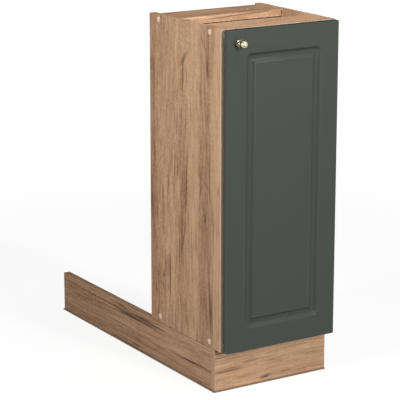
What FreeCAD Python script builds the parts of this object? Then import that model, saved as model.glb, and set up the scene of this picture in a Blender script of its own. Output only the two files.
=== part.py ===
import FreeCAD, Part
import math
import os
from FreeCAD import Vector

# Kitchen base cabinet, in millimetres.
# X runs right along the front, Y runs back, Z runs up from the floor.
# The pieces are drawn from the front left lower corner of the carcass.
# They move to the shared origin when they are written.

# Carcass
carcass_width = 300.0
carcass_depth = 296.0
total_height = 816.0
side_foot = 98.0
board = 16.0
edge_band = 1.0
bottom_lift = 6.0
rail_width = 88.0
back_thickness = 3.0
back_inset = 20.4
back_groove_depth = 8.0
back_groove_play = 0.1
back_side_play = 0.5
glue_gap = 0.1

# Shelf and its pins
shelf_height = 452.0
shelf_setback = 22.0
shelf_side_play = 0.8
shelf_back_play = 3.0
pin_radius = 2.5
pin_hole_radius = 2.55
pin_hole_depth = 10.0
pin_length = 17.0
pin_in_panel = 9.0
pin_row_front = 42.0
pin_row_rear = 60.0
pin_pitch = 32.0
pin_rows_each_way = 2

# Connecting screws, their cover caps and the dowels
screw_inset_front = 42.5
screw_inset_rear = 40.0
screw_drop = 10.0
screw_length = 50.0
screw_head_radius = 4.9
screw_head_height = 3.0
screw_shank_radius = 3.4
screw_core_radius = 2.4
screw_hole_play = 0.05
screw_socket_radius = 2.3
screw_socket_depth = 2.2
cap_radius = 6.5
cap_height = 1.2
cap_chamfer = 0.5
cap_stub_radius = 1.8
cap_stub_length = 1.8
dowel_radius = 4.0
dowel_length = 34.0
dowel_in_panel = 10.0
dowel_play = 0.05
dowel_end_play = 0.5
dowel_rail_inset = 18.0
dowel_bottom_front = 96.0
dowel_bottom_rear = 92.0

# Worktop screw holes in the rails
worktop_hole_radius = 2.5
worktop_hole_side = 80.0
worktop_hole_inset = 44.0

# Door
door_thickness = 18.0
door_gap = 3.5
door_margin = 6.5
door_bottom_lift = 0.3
door_top_drop = 0.2
door_front_round = 2.5
door_back_round = 1.5
groove_inset_x = 57.5
groove_inset_z = 62.8
groove_width = 25.0
groove_depth = 5.5
bumper_radius = 4.0
bumper_height = 3.2
bumper_inset_x = 5.0
bumper_inset_z = 14.0

# Knob
knob_inset_x = 26.5
knob_inset_z = 28.3
knob_reach = 27.5
knob_hole_radius = 2.2
knob_thread_radius = 2.0
knob_thread_depth = 11.0
knob_screw_head_radius = 4.5
knob_screw_head_height = 2.3
knob_screw_shank_radius = 1.9
knob_screw_in_knob = 9.0
knob_base_radius = 7.5
knob_base_height = 2.0
knob_neck_radius = 3.8
knob_neck_start = 4.8
knob_neck_end = 8.6
knob_ring_radius = 8.8
knob_ring_start = 12.2
knob_ring_height = 1.8
knob_waist_radius = 7.0
knob_waist_height = 0.9
knob_head_radius = 8.6
knob_head_start = 19.5

# Concealed hinges
hinge_inset_z = 100.0
hinge_cup_edge = 3.0
hinge_cup_radius = 17.5
hinge_cup_wall = 0.7
hinge_cup_depth = 13.2
hinge_bore_play = 0.05
hinge_bore_end_play = 0.1
hinge_flange = 1.0
hinge_flange_radius = 18.6
hinge_flange_margin = 6.0
hinge_flange_width = 13.0
hinge_screw_shift = 5.5
hinge_screw_pitch = 52.0
hinge_pin_edge = 8.0
hinge_pin_depth = 9.0
hinge_pin_radius = 1.5
hinge_pin_length = 16.0
hinge_pin_play = 0.05
hinge_ear_gap = 5.4
hinge_ear = 2.0
hinge_ear_reach_in = 3.5
hinge_ear_rise = 4.0
hinge_knuckle_radius = 3.0
hinge_knuckle_half = 5.0
hinge_strap = 2.5
hinge_neck_reach = 14.0
hinge_neck_end = 14.0
hinge_arm_start = 10.0
hinge_arm_end = 66.0
hinge_arm_half = 8.0
hinge_arm_lip = 1.2
hinge_arm_lip_reach = 6.0
hinge_plate_start = 16.0
hinge_plate_end = 60.0
hinge_plate_half = 6.4
hinge_wing = 3.0
hinge_wing_y = (28.0, 46.0)
hinge_wing_half = 24.0
hinge_wing_hole_y = 37.0
hinge_wing_hole_z = 16.0
hinge_lock_y = 50.0

# Small round-headed screws: radius of shank, radius and height of head, length under the head
wood_screw = (1.75, 3.5, 1.8, 13.0)
cup_screw = (1.75, 3.4, 1.2, 11.0)
euro_screw = (2.45, 4.0, 1.5, 13.0)
lock_screw = (2.5, 4.5, 2.0, 9.0)
drive_wall = 0.4
small_hole_play = 0.05
small_hole_end_play = 1.0

# Legs
leg_inset_side = 66.0
leg_inset_front = 84.0
leg_inset_rear = 70.0
socket_plate = 4.0
socket_half = 30.0
socket_corner = 8.0
socket_collar = 16.0
socket_collar_radius = 22.0
socket_hole_offset = 22.0
tube_radius = 17.0
tube_play = 0.05
tube_bottom = 24.0
tube_top_play = 0.3
tube_bore_top = 78.0
foot_radius = 23.0
foot_disc = 6.0
foot_disc_round = 1.5
foot_hex_radius = 16.0
foot_hex = 6.0
foot_stud_radius = 9.0
foot_stud_top = 62.0
foot_stud_play = 0.06

# Plinth
plinth_setback = 17.0
plinth_proud = 2.0
plinth_right_inset = 2.0
plinth_top = 97.6
plinth_far = 731.0
plinth_butt_gap = 0.1
seal_height = 3.0
seal_overhang = 3.5
seal_tongue = 3.0
seal_tongue_height = 8.0
seal_groove_play = 0.1
clip_ring_play = 0.1
clip_ring_wall = 3.0
clip_mouth_half = 12.0
clip_arm_half = 5.0
clip_height = 12.0
clip_foot = 3.0
clip_foot_half = 16.0
clip_foot_rise = 5.0
clip_hole_offset = 11.0
clip_z_front = 40.0
clip_z_left = 62.0
bracket_reach = 29.0
bracket_steel = 2.0
bracket_z = (10.0, 34.0)
bracket_hole_reach = 17.0

# Places derived from the dimensions above
x_left_in = board
x_right_in = carcass_width - board
back_front = carcass_depth - back_inset - back_thickness
inner_back = back_front - glue_gap
bottom_z = side_foot + bottom_lift
bottom_top = bottom_z + board
rail_z = total_height - board
screw_top_z = total_height - screw_drop
dowel_top_z = rail_z + board / 2
bottom_mid_z = bottom_z + board / 2
rear_rail_front = inner_back - rail_width
worktop_hole_x = (worktop_hole_side, carcass_width - worktop_hole_side)
worktop_hole_y = (worktop_hole_inset, inner_back - worktop_hole_inset)
pin_row_y = (pin_row_front, carcass_depth - pin_row_rear)
screw_y = (screw_inset_front, carcass_depth - screw_inset_rear)
dowel_rail_y = (rail_width - dowel_rail_inset, rear_rail_front + dowel_rail_inset)
dowel_bottom_y = (dowel_bottom_front, carcass_depth - dowel_bottom_rear)
leg_x = (leg_inset_side, carcass_width - leg_inset_side)
leg_y = (leg_inset_front, carcass_depth - leg_inset_rear)
door_left = door_margin
door_right = carcass_width - door_margin
door_back = -door_gap
door_front = door_back - door_thickness
door_bottom = side_foot + door_bottom_lift
door_top = total_height - door_top_drop
knob_x = door_left + knob_inset_x
knob_z = door_top - knob_inset_z
hinge_z = (door_top - hinge_inset_z, door_bottom + hinge_inset_z)
cup_x = door_right - hinge_cup_edge - hinge_cup_radius
cup_screw_x = cup_x - hinge_screw_shift
pin_x = door_right - hinge_pin_edge
pin_y = door_back - hinge_pin_depth
neck_x = pin_x - hinge_neck_reach
plinth_left_face = -plinth_proud
plinth_left_back = plinth_left_face + board
plinth_front_back = plinth_setback + board
plinth_right_end = carcass_width - plinth_right_inset
left_board_start = plinth_front_back + plinth_butt_gap
seal_left_face = plinth_left_face - seal_overhang
seal_front_face = plinth_setback - seal_overhang
x_middle = (seal_left_face + carcass_width) / 2
y_middle = (door_front - knob_reach + plinth_far) / 2
origin_shift = Vector(-x_middle, -y_middle, 0)

x_axis = Vector(1, 0, 0)
y_axis = Vector(0, 1, 0)
z_axis = Vector(0, 0, 1)


def box(x0, x1, y0, y1, z0, z1):
    """Block between two corners."""
    return Part.makeBox(x1 - x0, y1 - y0, z1 - z0, Vector(x0, y0, z0))


def rod(start, axis, radius, length):
    """Cylinder from a point along an axis."""
    return Part.makeCylinder(radius, length, start, axis)


def arc(start, middle, end):
    """Round edge through three points."""
    return Part.Arc(start, middle, end).toShape()


def fuse(shapes):
    """One solid from touching or overlapping shapes."""
    result = shapes[0].multiFuse(shapes[1:])
    return result.removeSplitter()


def cut(shape, tools):
    """Shape with all tools taken away."""
    return shape.cut(Part.makeCompound(tools))


def screw(start, axis, sizes):
    """Round-headed screw whose head sits on start and whose shank runs along axis."""
    shank_radius, head_radius, head_height, length = sizes
    head_start = start - axis * head_height
    head = rod(head_start, axis, head_radius, head_height)
    shank = rod(head_start, axis, shank_radius, head_height + length)
    drive = rod(head_start, axis, shank_radius - drive_wall, head_height / 2)
    return cut(fuse([head, shank]), [drive])


def screw_hole(start, axis, sizes):
    """Hole for the shank of such a screw."""
    shank_radius, head_radius, head_height, length = sizes
    return rod(start, axis, shank_radius + small_hole_play, length + small_hole_end_play)


def save(name, shapes):
    """Writes one node, moved to the shared origin."""
    if not isinstance(shapes, list):
        shapes = [shapes]
    moved = []
    for shape in shapes:
        copy = shape.copy()
        copy.translate(origin_shift)
        moved.append(copy)
    result = moved[0] if len(moved) == 1 else Part.makeCompound(moved)
    result.exportStep("parts/" + name + ".step")


def side_points():
    """Screw and dowel places along the edge of a side panel."""
    screws = []
    for y in screw_y:
        screws.append((y, screw_top_z))
        screws.append((y, bottom_mid_z))
    dowels = []
    for y in dowel_rail_y:
        dowels.append((y, dowel_top_z))
    for y in dowel_bottom_y:
        dowels.append((y, bottom_mid_z))
    return screws, dowels


def screw_outline(x, direction, y, z, play):
    """Connecting screw driven from the outer face at x, with play added for its hole."""
    axis = x_axis * direction
    start = Vector(x, y, z)
    head = rod(start, axis, screw_head_radius + play, screw_head_height + play)
    shank = rod(start, axis, screw_shank_radius + play, board)
    core = rod(start, axis, screw_core_radius + play, screw_length + play)
    return fuse([head, shank, core])


def hexagon(start, axis, radius, length):
    """Six-sided bar along X or Z."""
    corners = []
    sides = 6
    for step in range(sides + 1):
        angle = 2 * math.pi * step / sides
        across = Vector(0, math.cos(angle), math.sin(angle))
        if axis.z != 0:
            across = Vector(math.cos(angle), math.sin(angle), 0)
        corners.append(start + across * radius)
    face = Part.Face(Part.makePolygon(corners))
    return face.extrude(axis * length)


def connecting_screws():
    """Eight screws, four through each side panel."""
    screws = []
    for x, direction in ((0, 1), (carcass_width, -1)):
        for y, z in side_points()[0]:
            solid = screw_outline(x, direction, y, z, 0)
            socket = hexagon(Vector(x, y, z), x_axis * direction, screw_socket_radius, screw_socket_depth)
            screws.append(cut(solid, [socket]))
    return screws


def dowel_outline(x_face, direction, y, z, play, end_play):
    """Dowel across the joint between a side panel's inner face and a board's end."""
    start = Vector(x_face - direction * (dowel_in_panel + end_play), y, z)
    return rod(start, x_axis * direction, dowel_radius + play, dowel_length + 2 * end_play)


def joint_holes(x, x_face, direction):
    """All connecting holes on one side of the carcass."""
    screws, dowels = side_points()
    tools = []
    for y, z in screws:
        tools.append(screw_outline(x, direction, y, z, screw_hole_play))
    for y, z in dowels:
        tools.append(dowel_outline(x_face, direction, y, z, dowel_play, dowel_end_play))
    return tools


all_joint_holes = joint_holes(0, x_left_in, 1) + joint_holes(carcass_width, x_right_in, -1)


def pin_holes(x_face, direction):
    """Two rows of shelf pin holes in an inner face."""
    tools = []
    middle = shelf_height - pin_radius
    for y in pin_row_y:
        for row in range(-pin_rows_each_way, pin_rows_each_way + 1):
            start = Vector(x_face - direction * pin_hole_depth, y, middle + row * pin_pitch)
            tools.append(rod(start, x_axis * direction, pin_hole_radius, pin_hole_depth))
    return tools


def side_panel(x0, x1, x_face, direction):
    """Side board with back groove, joint holes and shelf pin holes."""
    panel = box(x0, x1, edge_band, carcass_depth, side_foot, total_height)
    groove_x = sorted((x_face, x_face - direction * back_groove_depth))
    groove_y = (back_front - back_groove_play, back_front + back_thickness + back_groove_play)
    groove = box(groove_x[0], groove_x[1], groove_y[0], groove_y[1], side_foot, total_height)
    return cut(panel, [groove] + pin_holes(x_face, direction) + all_joint_holes)


def bottom_board():
    """Bottom board with joint holes and holes for the leg screws."""
    shape = box(x_left_in, x_right_in, edge_band, inner_back, bottom_z, bottom_top)
    tools = list(all_joint_holes)
    for x in leg_x:
        for y in leg_y:
            for place in socket_screw_places(x, y):
                tools.append(screw_hole(place, z_axis, wood_screw))
    return cut(shape, tools)


def top_rail(y0, y1, hole_y):
    """Flat rail across the top with two worktop screw holes."""
    shape = box(x_left_in, x_right_in, y0, y1, rail_z, total_height)
    tools = list(all_joint_holes)
    for x in worktop_hole_x:
        tools.append(rod(Vector(x, hole_y, rail_z), z_axis, worktop_hole_radius, board))
    return cut(shape, tools)


def shelf_pin_set():
    """Four round pins that carry the shelf."""
    pins = []
    z = shelf_height - pin_radius
    for y in pin_row_y:
        pins.append(rod(Vector(x_left_in - pin_in_panel, y, z), x_axis, pin_radius, pin_length))
        pins.append(rod(Vector(x_right_in + pin_in_panel, y, z), -x_axis, pin_radius, pin_length))
    return pins


def cover_cap(y, z):
    """Flat cap over a screw head on the left side, with a stub in the head's socket."""
    disc = rod(Vector(0, y, z), -x_axis, cap_radius, cap_height)
    rims = [edge for edge in disc.Edges if edge.Closed and edge.CenterOfMass.x < -cap_height / 2]
    disc = disc.makeChamfer(cap_chamfer, rims)
    stub = rod(Vector(0, y, z), x_axis, cap_stub_radius, cap_stub_length)
    return fuse([disc, stub])


def socket_screw_places(x, y):
    """Heads of the four screws under a leg socket."""
    places = []
    z = bottom_z - socket_plate
    for side in (-1, 1):
        for end in (-1, 1):
            places.append(Vector(x + side * socket_hole_offset, y + end * socket_hole_offset, z))
    return places


def leg_socket(x, y):
    """Square plate with a round collar, under the bottom board."""
    plate_z = bottom_z - socket_plate
    plate = box(x - socket_half, x + socket_half, y - socket_half, y + socket_half, plate_z, bottom_z)
    upright = [edge for edge in plate.Edges if abs(edge.tangentAt(edge.FirstParameter).z) == 1]
    plate = plate.makeFillet(socket_corner, upright)
    collar = rod(Vector(x, y, plate_z - socket_collar), z_axis, socket_collar_radius, socket_collar)
    tools = [rod(Vector(x, y, plate_z - socket_collar), z_axis, tube_radius + tube_play, socket_collar)]
    for place in socket_screw_places(x, y):
        tools.append(screw_hole(place, z_axis, wood_screw))
    return cut(fuse([plate, collar]), tools)


def leg_tube(x, y):
    """Leg with a bore for the foot's stud."""
    top = bottom_z - socket_plate - tube_top_play
    tube = rod(Vector(x, y, tube_bottom), z_axis, tube_radius, top - tube_bottom)
    bore_radius = foot_stud_radius + foot_stud_play
    bore = rod(Vector(x, y, tube_bottom), z_axis, bore_radius, tube_bore_top - tube_bottom)
    return cut(tube, [bore])


def leg_foot(x, y):
    """Round foot with a six-sided grip and a stud."""
    disc = rod(Vector(x, y, 0), z_axis, foot_radius, foot_disc)
    rims = [edge for edge in disc.Edges if edge.Closed and edge.CenterOfMass.z > foot_disc / 2]
    disc = disc.makeFillet(foot_disc_round, rims)
    grip = hexagon(Vector(x, y, foot_disc), z_axis, foot_hex_radius, foot_hex)
    stud = rod(Vector(x, y, foot_disc), z_axis, foot_stud_radius, foot_stud_top - foot_disc)
    return fuse([disc, grip, stud])


def plinth_clip(x, y, z0, reach):
    """Open ring round a leg with an arm and a foot plate that meets a board in front of it."""
    inner = tube_radius + clip_ring_play
    outer = inner + clip_ring_wall
    base = Vector(x, y, z0)
    ring = rod(base, z_axis, outer, clip_height)
    mouth = box(x - clip_mouth_half, x + clip_mouth_half, y, y + 2 * outer, z0, z0 + clip_height)
    board_y = y - reach
    arm = box(x - clip_arm_half, x + clip_arm_half, board_y, y, z0, z0 + clip_height)
    foot_z = (z0 - clip_foot_rise, z0 + clip_height + clip_foot_rise)
    foot_x = (x - clip_foot_half, x + clip_foot_half)
    foot = box(foot_x[0], foot_x[1], board_y, board_y + clip_foot, foot_z[0], foot_z[1])
    tools = [rod(base, z_axis, inner, clip_height), mouth]
    for place in clip_screw_places(x, y, z0, reach):
        tools.append(screw_hole(place, -y_axis, wood_screw))
    return cut(fuse([ring, arm, foot]), tools)


def clip_screw_places(x, y, z0, reach):
    """Heads of the two screws of a clip."""
    middle = z0 + clip_height / 2
    face = y - reach + clip_foot
    return [Vector(x + side * clip_hole_offset, face, middle) for side in (-1, 1)]


def turned(shape, x, y):
    """Shape turned about an upright line so that its front faces left."""
    copy = shape.copy()
    copy.rotate(Vector(x, y, 0), z_axis, -90)
    return copy


clip_reach_front = leg_y[0] - plinth_front_back
clip_reach_left = leg_x[0] - plinth_left_back


def clip_screws():
    """Screws of all four clips."""
    screws = []
    for x in leg_x:
        for place in clip_screw_places(x, leg_y[0], clip_z_front, clip_reach_front):
            screws.append(screw(place, -y_axis, wood_screw))
    for y in leg_y:
        for place in clip_screw_places(leg_x[0], y, clip_z_left, clip_reach_left):
            screws.append(turned(screw(place, -y_axis, wood_screw), leg_x[0], y))
    return screws


def bracket_screw_places():
    """Heads and directions of the two corner bracket screws."""
    z = sum(bracket_z) / 2
    on_front = Vector(plinth_left_back + bracket_hole_reach, plinth_front_back + bracket_steel, z)
    on_left = Vector(plinth_left_back + bracket_steel, plinth_front_back + bracket_hole_reach, z)
    return [(on_front, -y_axis), (on_left, -x_axis)]


def corner_bracket():
    """Steel angle that ties the left plinth board to the front one."""
    x0 = plinth_left_back
    y0 = plinth_front_back
    z0, z1 = bracket_z
    front = box(x0, x0 + bracket_reach, y0, y0 + bracket_steel, z0, z1)
    side = box(x0, x0 + bracket_steel, y0, y0 + bracket_reach, z0, z1)
    tools = [screw_hole(place, axis, wood_screw) for place, axis in bracket_screw_places()]
    return cut(fuse([front, side]), tools)


def plinth_holes():
    """Holes for every screw that enters a plinth board."""
    tools = []
    for x in leg_x:
        for place in clip_screw_places(x, leg_y[0], clip_z_front, clip_reach_front):
            tools.append(screw_hole(place, -y_axis, wood_screw))
    for y in leg_y:
        for place in clip_screw_places(leg_x[0], y, clip_z_left, clip_reach_left):
            tools.append(turned(screw_hole(place, -y_axis, wood_screw), leg_x[0], y))
    for place, axis in bracket_screw_places():
        tools.append(screw_hole(place, axis, wood_screw))
    return tools


def front_plinth():
    """Front board with a groove for the seal in its lower edge."""
    x0 = plinth_left_face + edge_band
    x1 = plinth_right_end
    shape = box(x0, x1, plinth_setback, plinth_front_back, seal_height, plinth_top)
    middle = plinth_setback + board / 2
    half = seal_tongue / 2 + seal_groove_play
    depth = seal_height + seal_tongue_height + seal_groove_play
    groove = box(x0, x1, middle - half, middle + half, seal_height, depth)
    return cut(shape, [groove] + plinth_holes())


def left_plinth():
    """Long left board with a groove for the seal in its lower edge."""
    shape = box(plinth_left_face, plinth_left_back, left_board_start, plinth_far, seal_height, plinth_top)
    middle = plinth_left_face + board / 2
    half = seal_tongue / 2 + seal_groove_play
    depth = seal_height + seal_tongue_height + seal_groove_play
    groove = box(middle - half, middle + half, left_board_start, plinth_far, seal_height, depth)
    return cut(shape, [groove] + plinth_holes())


def front_seal():
    """Soft strip under the front board: a lip on the floor and a tongue in the groove."""
    lip = box(seal_left_face, plinth_right_end, seal_front_face, plinth_front_back, 0, seal_height)
    middle = plinth_setback + board / 2
    half = seal_tongue / 2
    top = seal_height + seal_tongue_height
    x0 = plinth_left_face + edge_band
    tongue = box(x0, plinth_right_end, middle - half, middle + half, seal_height, top)
    return fuse([lip, tongue])


def left_seal():
    """Soft strip under the left board."""
    lip = box(seal_left_face, plinth_left_back, left_board_start, plinth_far, 0, seal_height)
    middle = plinth_left_face + board / 2
    half = seal_tongue / 2
    top = seal_height + seal_tongue_height
    tongue = box(middle - half, middle + half, left_board_start, plinth_far, seal_height, top)
    return fuse([lip, tongue])


def groove_tool():
    """Round-bottomed groove that frames the field of the door."""
    radius = (groove_width ** 2 / 4 + groove_depth ** 2) / (2 * groove_depth)
    y = door_front + groove_depth - radius
    x0 = door_left + groove_inset_x
    x1 = door_right - groove_inset_x
    z0 = door_bottom + groove_inset_z
    z1 = door_top - groove_inset_z
    tools = []
    for z in (z0, z1):
        tools.append(rod(Vector(x0, y, z), x_axis, radius, x1 - x0))
    for x in (x0, x1):
        tools.append(rod(Vector(x, y, z0), z_axis, radius, z1 - z0))
        for z in (z0, z1):
            tools.append(Part.makeSphere(radius, Vector(x, y, z)))
    return tools


def door():
    """Door board with rounded edges, framing groove and holes for knob and hinges."""
    shape = box(door_left, door_right, door_front, door_back, door_bottom, door_top)
    front_edges = [edge for edge in shape.Edges if edge.BoundBox.YMax < door_front + glue_gap]
    shape = shape.makeFillet(door_front_round, front_edges)
    back_edges = [edge for edge in shape.Edges if edge.BoundBox.YMin > door_back - glue_gap]
    shape = shape.makeFillet(door_back_round, back_edges)
    tools = [rod(Vector(knob_x, door_front, knob_z), y_axis, knob_hole_radius, door_thickness)]
    bore_radius = hinge_cup_radius + hinge_bore_play
    bore_depth = hinge_cup_depth + hinge_bore_end_play
    for z in hinge_z:
        tools.append(rod(Vector(cup_x, door_back, z), -y_axis, bore_radius, bore_depth))
        for place in cup_screw_places(z):
            tools.append(screw_hole(place, -y_axis, cup_screw))
    for tool in groove_tool():
        shape = shape.cut(tool)
    return cut(shape, tools)


def cup_screw_places(z):
    """Heads of the two screws in a hinge cup's flange."""
    y = door_back + hinge_flange
    return [Vector(cup_screw_x, y, z + side * hinge_screw_pitch / 2) for side in (-1, 1)]


def hinge_cup(z):
    """Hinge cup with flange and two ears that carry the pin."""
    inner = hinge_cup_radius - hinge_cup_wall
    flange_y = door_back + hinge_flange
    centre = Vector(cup_x, door_back, z)
    shell = rod(centre, -y_axis, hinge_cup_radius, hinge_cup_depth)
    disc = rod(centre, y_axis, hinge_flange_radius, hinge_flange)
    bar_x = (cup_screw_x - hinge_flange_width / 2, cup_screw_x + hinge_flange_width / 2)
    bar_half = hinge_screw_pitch / 2 + hinge_flange_margin
    bar_z = (z - bar_half, z + bar_half)
    bar = box(bar_x[0], bar_x[1], door_back, flange_y, bar_z[0], bar_z[1])
    hollow_depth = hinge_cup_depth - hinge_cup_wall + hinge_flange
    hollow = rod(Vector(cup_x, flange_y, z), -y_axis, inner, hollow_depth)
    body = cut(fuse([shell, disc, bar]), [hollow])
    floor = door_back - hinge_cup_depth + hinge_cup_wall
    half_wall = hinge_cup_wall / 2
    room = rod(Vector(cup_x, floor - half_wall, z), y_axis, inner + half_wall, hinge_cup_depth)
    ears = []
    for side in (-1, 1):
        ear_z = sorted((z + side * hinge_ear_gap, z + side * (hinge_ear_gap + hinge_ear)))
        ear_x = (pin_x - hinge_ear_reach_in, pin_x + hinge_cup_radius)
        ear = box(ear_x[0], ear_x[1], floor - half_wall, pin_y + hinge_ear_rise, ear_z[0], ear_z[1])
        ears.append(ear.common(room))
    pin_hole = rod(Vector(pin_x, pin_y, z - hinge_pin_length), z_axis, hinge_pin_radius, 2 * hinge_pin_length)
    ears = [cut(ear, [pin_hole]) for ear in ears]
    holes = [screw_hole(place, -y_axis, cup_screw) for place in cup_screw_places(z)]
    return cut(fuse([body] + ears), holes)


def hinge_pin(z):
    """Round pin across the cup."""
    return rod(Vector(pin_x, pin_y, z - hinge_pin_length / 2), z_axis, hinge_pin_radius, hinge_pin_length)


def hinge_arm(z):
    """Bent steel arm: knuckle round the pin, neck out of the cup, channel over the mounting plate."""
    half = hinge_knuckle_half
    strap = hinge_strap / 2
    knuckle = rod(Vector(pin_x, pin_y, z - half), z_axis, hinge_knuckle_radius, 2 * half)
    reach = box(neck_x - strap, pin_x, pin_y - strap, pin_y + strap, z - half, z + half)
    neck = box(neck_x - strap, neck_x + strap, pin_y - strap, hinge_neck_end, z - half, z + half)
    wide = hinge_arm_half
    web = box(neck_x - strap, neck_x + strap, hinge_arm_start, hinge_arm_end, z - wide, z + wide)
    pieces = [knuckle, reach, neck, web]
    for side in (-1, 1):
        lip_z = sorted((z + side * wide, z + side * (wide - hinge_arm_lip)))
        lip_x = (neck_x - strap, neck_x + strap + hinge_arm_lip_reach)
        pieces.append(box(lip_x[0], lip_x[1], hinge_arm_start, hinge_arm_end, lip_z[0], lip_z[1]))
    bore = rod(Vector(pin_x, pin_y, z - half), z_axis, hinge_pin_radius + hinge_pin_play, 2 * half)
    hole = screw_hole(lock_screw_place(z), x_axis, lock_screw)
    return cut(fuse(pieces), [bore, hole])


def lock_screw_place(z):
    """Head of the screw that holds an arm on its plate."""
    return Vector(neck_x - hinge_strap / 2, hinge_lock_y, z)


def wing_screw_places(z):
    """Heads of the two screws of a mounting plate."""
    x = x_right_in - hinge_wing
    return [Vector(x, hinge_wing_hole_y, z + side * hinge_wing_hole_z) for side in (-1, 1)]


def hinge_plate(z):
    """Mounting plate on the right panel: raised middle and two screwed wings."""
    face = neck_x + hinge_strap / 2
    half = hinge_plate_half
    middle = box(face, x_right_in, hinge_plate_start, hinge_plate_end, z - half, z + half)
    wing_z = (z - hinge_wing_half, z + hinge_wing_half)
    wing = box(x_right_in - hinge_wing, x_right_in, hinge_wing_y[0], hinge_wing_y[1], wing_z[0], wing_z[1])
    tools = [screw_hole(place, x_axis, euro_screw) for place in wing_screw_places(z)]
    tools.append(screw_hole(lock_screw_place(z), x_axis, lock_screw))
    return cut(fuse([middle, wing]), tools)


def knob():
    """Turned knob with rosette, slim neck, ring and domed head."""

    def spot(radius, reach):
        return Vector(knob_x + radius, door_front - reach, knob_z)

    ring_end = knob_ring_start + knob_ring_height
    waist_end = ring_end + knob_waist_height
    foot_radius_middle = (knob_base_radius + 2 * knob_neck_radius) / 3
    foot_middle = spot(foot_radius_middle, (2 * knob_base_height + knob_neck_start) / 3)
    throat_radius_middle = (knob_ring_radius + 2 * knob_neck_radius) / 3
    throat_middle = spot(throat_radius_middle, (2 * knob_ring_start + knob_neck_end) / 3)
    ring_middle = spot(knob_ring_radius + knob_ring_height / 2, knob_ring_start + knob_ring_height / 2)
    shoulder = spot((knob_waist_radius + 5 * knob_head_radius) / 6, (2 * waist_end + knob_head_start) / 3)
    dome_height = knob_reach - knob_head_start
    dome_radius = (knob_head_radius ** 2 + dome_height ** 2) / (2 * dome_height)
    dome_middle = spot(dome_radius * math.sqrt(0.5), knob_reach - dome_radius * (1 - math.sqrt(0.5)))
    edges = [
        Part.makeLine(spot(0, 0), spot(knob_base_radius, 0)),
        Part.makeLine(spot(knob_base_radius, 0), spot(knob_base_radius, knob_base_height)),
        arc(spot(knob_base_radius, knob_base_height), foot_middle, spot(knob_neck_radius, knob_neck_start)),
        Part.makeLine(spot(knob_neck_radius, knob_neck_start), spot(knob_neck_radius, knob_neck_end)),
        arc(spot(knob_neck_radius, knob_neck_end), throat_middle, spot(knob_ring_radius, knob_ring_start)),
        arc(spot(knob_ring_radius, knob_ring_start), ring_middle, spot(knob_ring_radius, ring_end)),
        Part.makeLine(spot(knob_ring_radius, ring_end), spot(knob_waist_radius, ring_end)),
        Part.makeLine(spot(knob_waist_radius, ring_end), spot(knob_waist_radius, waist_end)),
        arc(spot(knob_waist_radius, waist_end), shoulder, spot(knob_head_radius, knob_head_start)),
        arc(spot(knob_head_radius, knob_head_start), dome_middle, spot(0, knob_reach)),
        Part.makeLine(spot(0, knob_reach), spot(0, 0)),
    ]
    face = Part.Face(Part.Wire(edges))
    solid = face.revolve(spot(0, 0), y_axis, 360)
    thread = rod(spot(0, 0), -y_axis, knob_thread_radius, knob_thread_depth)
    return cut(solid, [thread])


def knob_screw():
    """Flat-headed screw through the door into the knob."""
    length = door_thickness + knob_screw_in_knob
    sizes = (knob_screw_shank_radius, knob_screw_head_radius, knob_screw_head_height, length)
    return screw(Vector(knob_x, door_back, knob_z), -y_axis, sizes)


def bumpers():
    """Two soft dots on the back of the door."""
    x = door_left + bumper_inset_x
    places = (door_bottom + bumper_inset_z, door_top - bumper_inset_z)
    return [rod(Vector(x, door_back, z), y_axis, bumper_radius, bumper_height) for z in places]


os.makedirs("parts", exist_ok=True)

# Carcass boards
hinge_panel_holes = []
for hinge_level in hinge_z:
    for wing_place in wing_screw_places(hinge_level):
        hinge_panel_holes.append(screw_hole(wing_place, x_axis, euro_screw))
save("side_panel_left", side_panel(0, board, x_left_in, 1))
right_panel = side_panel(x_right_in, carcass_width, x_right_in, -1)
save("side_panel_right", cut(right_panel, hinge_panel_holes))
save("bottom_panel", bottom_board())
save("top_rail_front", top_rail(edge_band, rail_width, worktop_hole_y[0]))
save("top_rail_rear", top_rail(rear_rail_front, inner_back, worktop_hole_y[1]))
back_x = (x_left_in - back_groove_depth + back_side_play, x_right_in + back_groove_depth - back_side_play)
save("back_panel", box(back_x[0], back_x[1], back_front, back_front + back_thickness, bottom_z, total_height))
shelf_x = (x_left_in + shelf_side_play, x_right_in - shelf_side_play)
shelf_back = inner_back - shelf_back_play
shelf_top = shelf_height + board
save("shelf", box(shelf_x[0], shelf_x[1], shelf_setback, shelf_back, shelf_height, shelf_top))
save("shelf_pins", shelf_pin_set())

# Front edge bands
save("edge_band_left", box(0, board, 0, edge_band, side_foot, total_height))
save("edge_band_right", box(x_right_in, carcass_width, 0, edge_band, side_foot, total_height))
save("edge_band_rail", box(x_left_in, x_right_in, 0, edge_band, rail_z, total_height))
save("edge_band_bottom", box(x_left_in, x_right_in, 0, edge_band, bottom_z, bottom_top))
shelf_band_y = shelf_setback - edge_band
save("edge_band_shelf", box(shelf_x[0], shelf_x[1], shelf_band_y, shelf_setback, shelf_height, shelf_top))

# Fastenings of the carcass
save("carcass_screws", connecting_screws())
save("screw_caps", [cover_cap(y, z) for y, z in side_points()[0]])
dowels = []
for dowel_y, dowel_z in side_points()[1]:
    dowels.append(dowel_outline(x_left_in, 1, dowel_y, dowel_z, 0, 0))
    dowels.append(dowel_outline(x_right_in, -1, dowel_y, dowel_z, 0, 0))
save("dowels", dowels)

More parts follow.
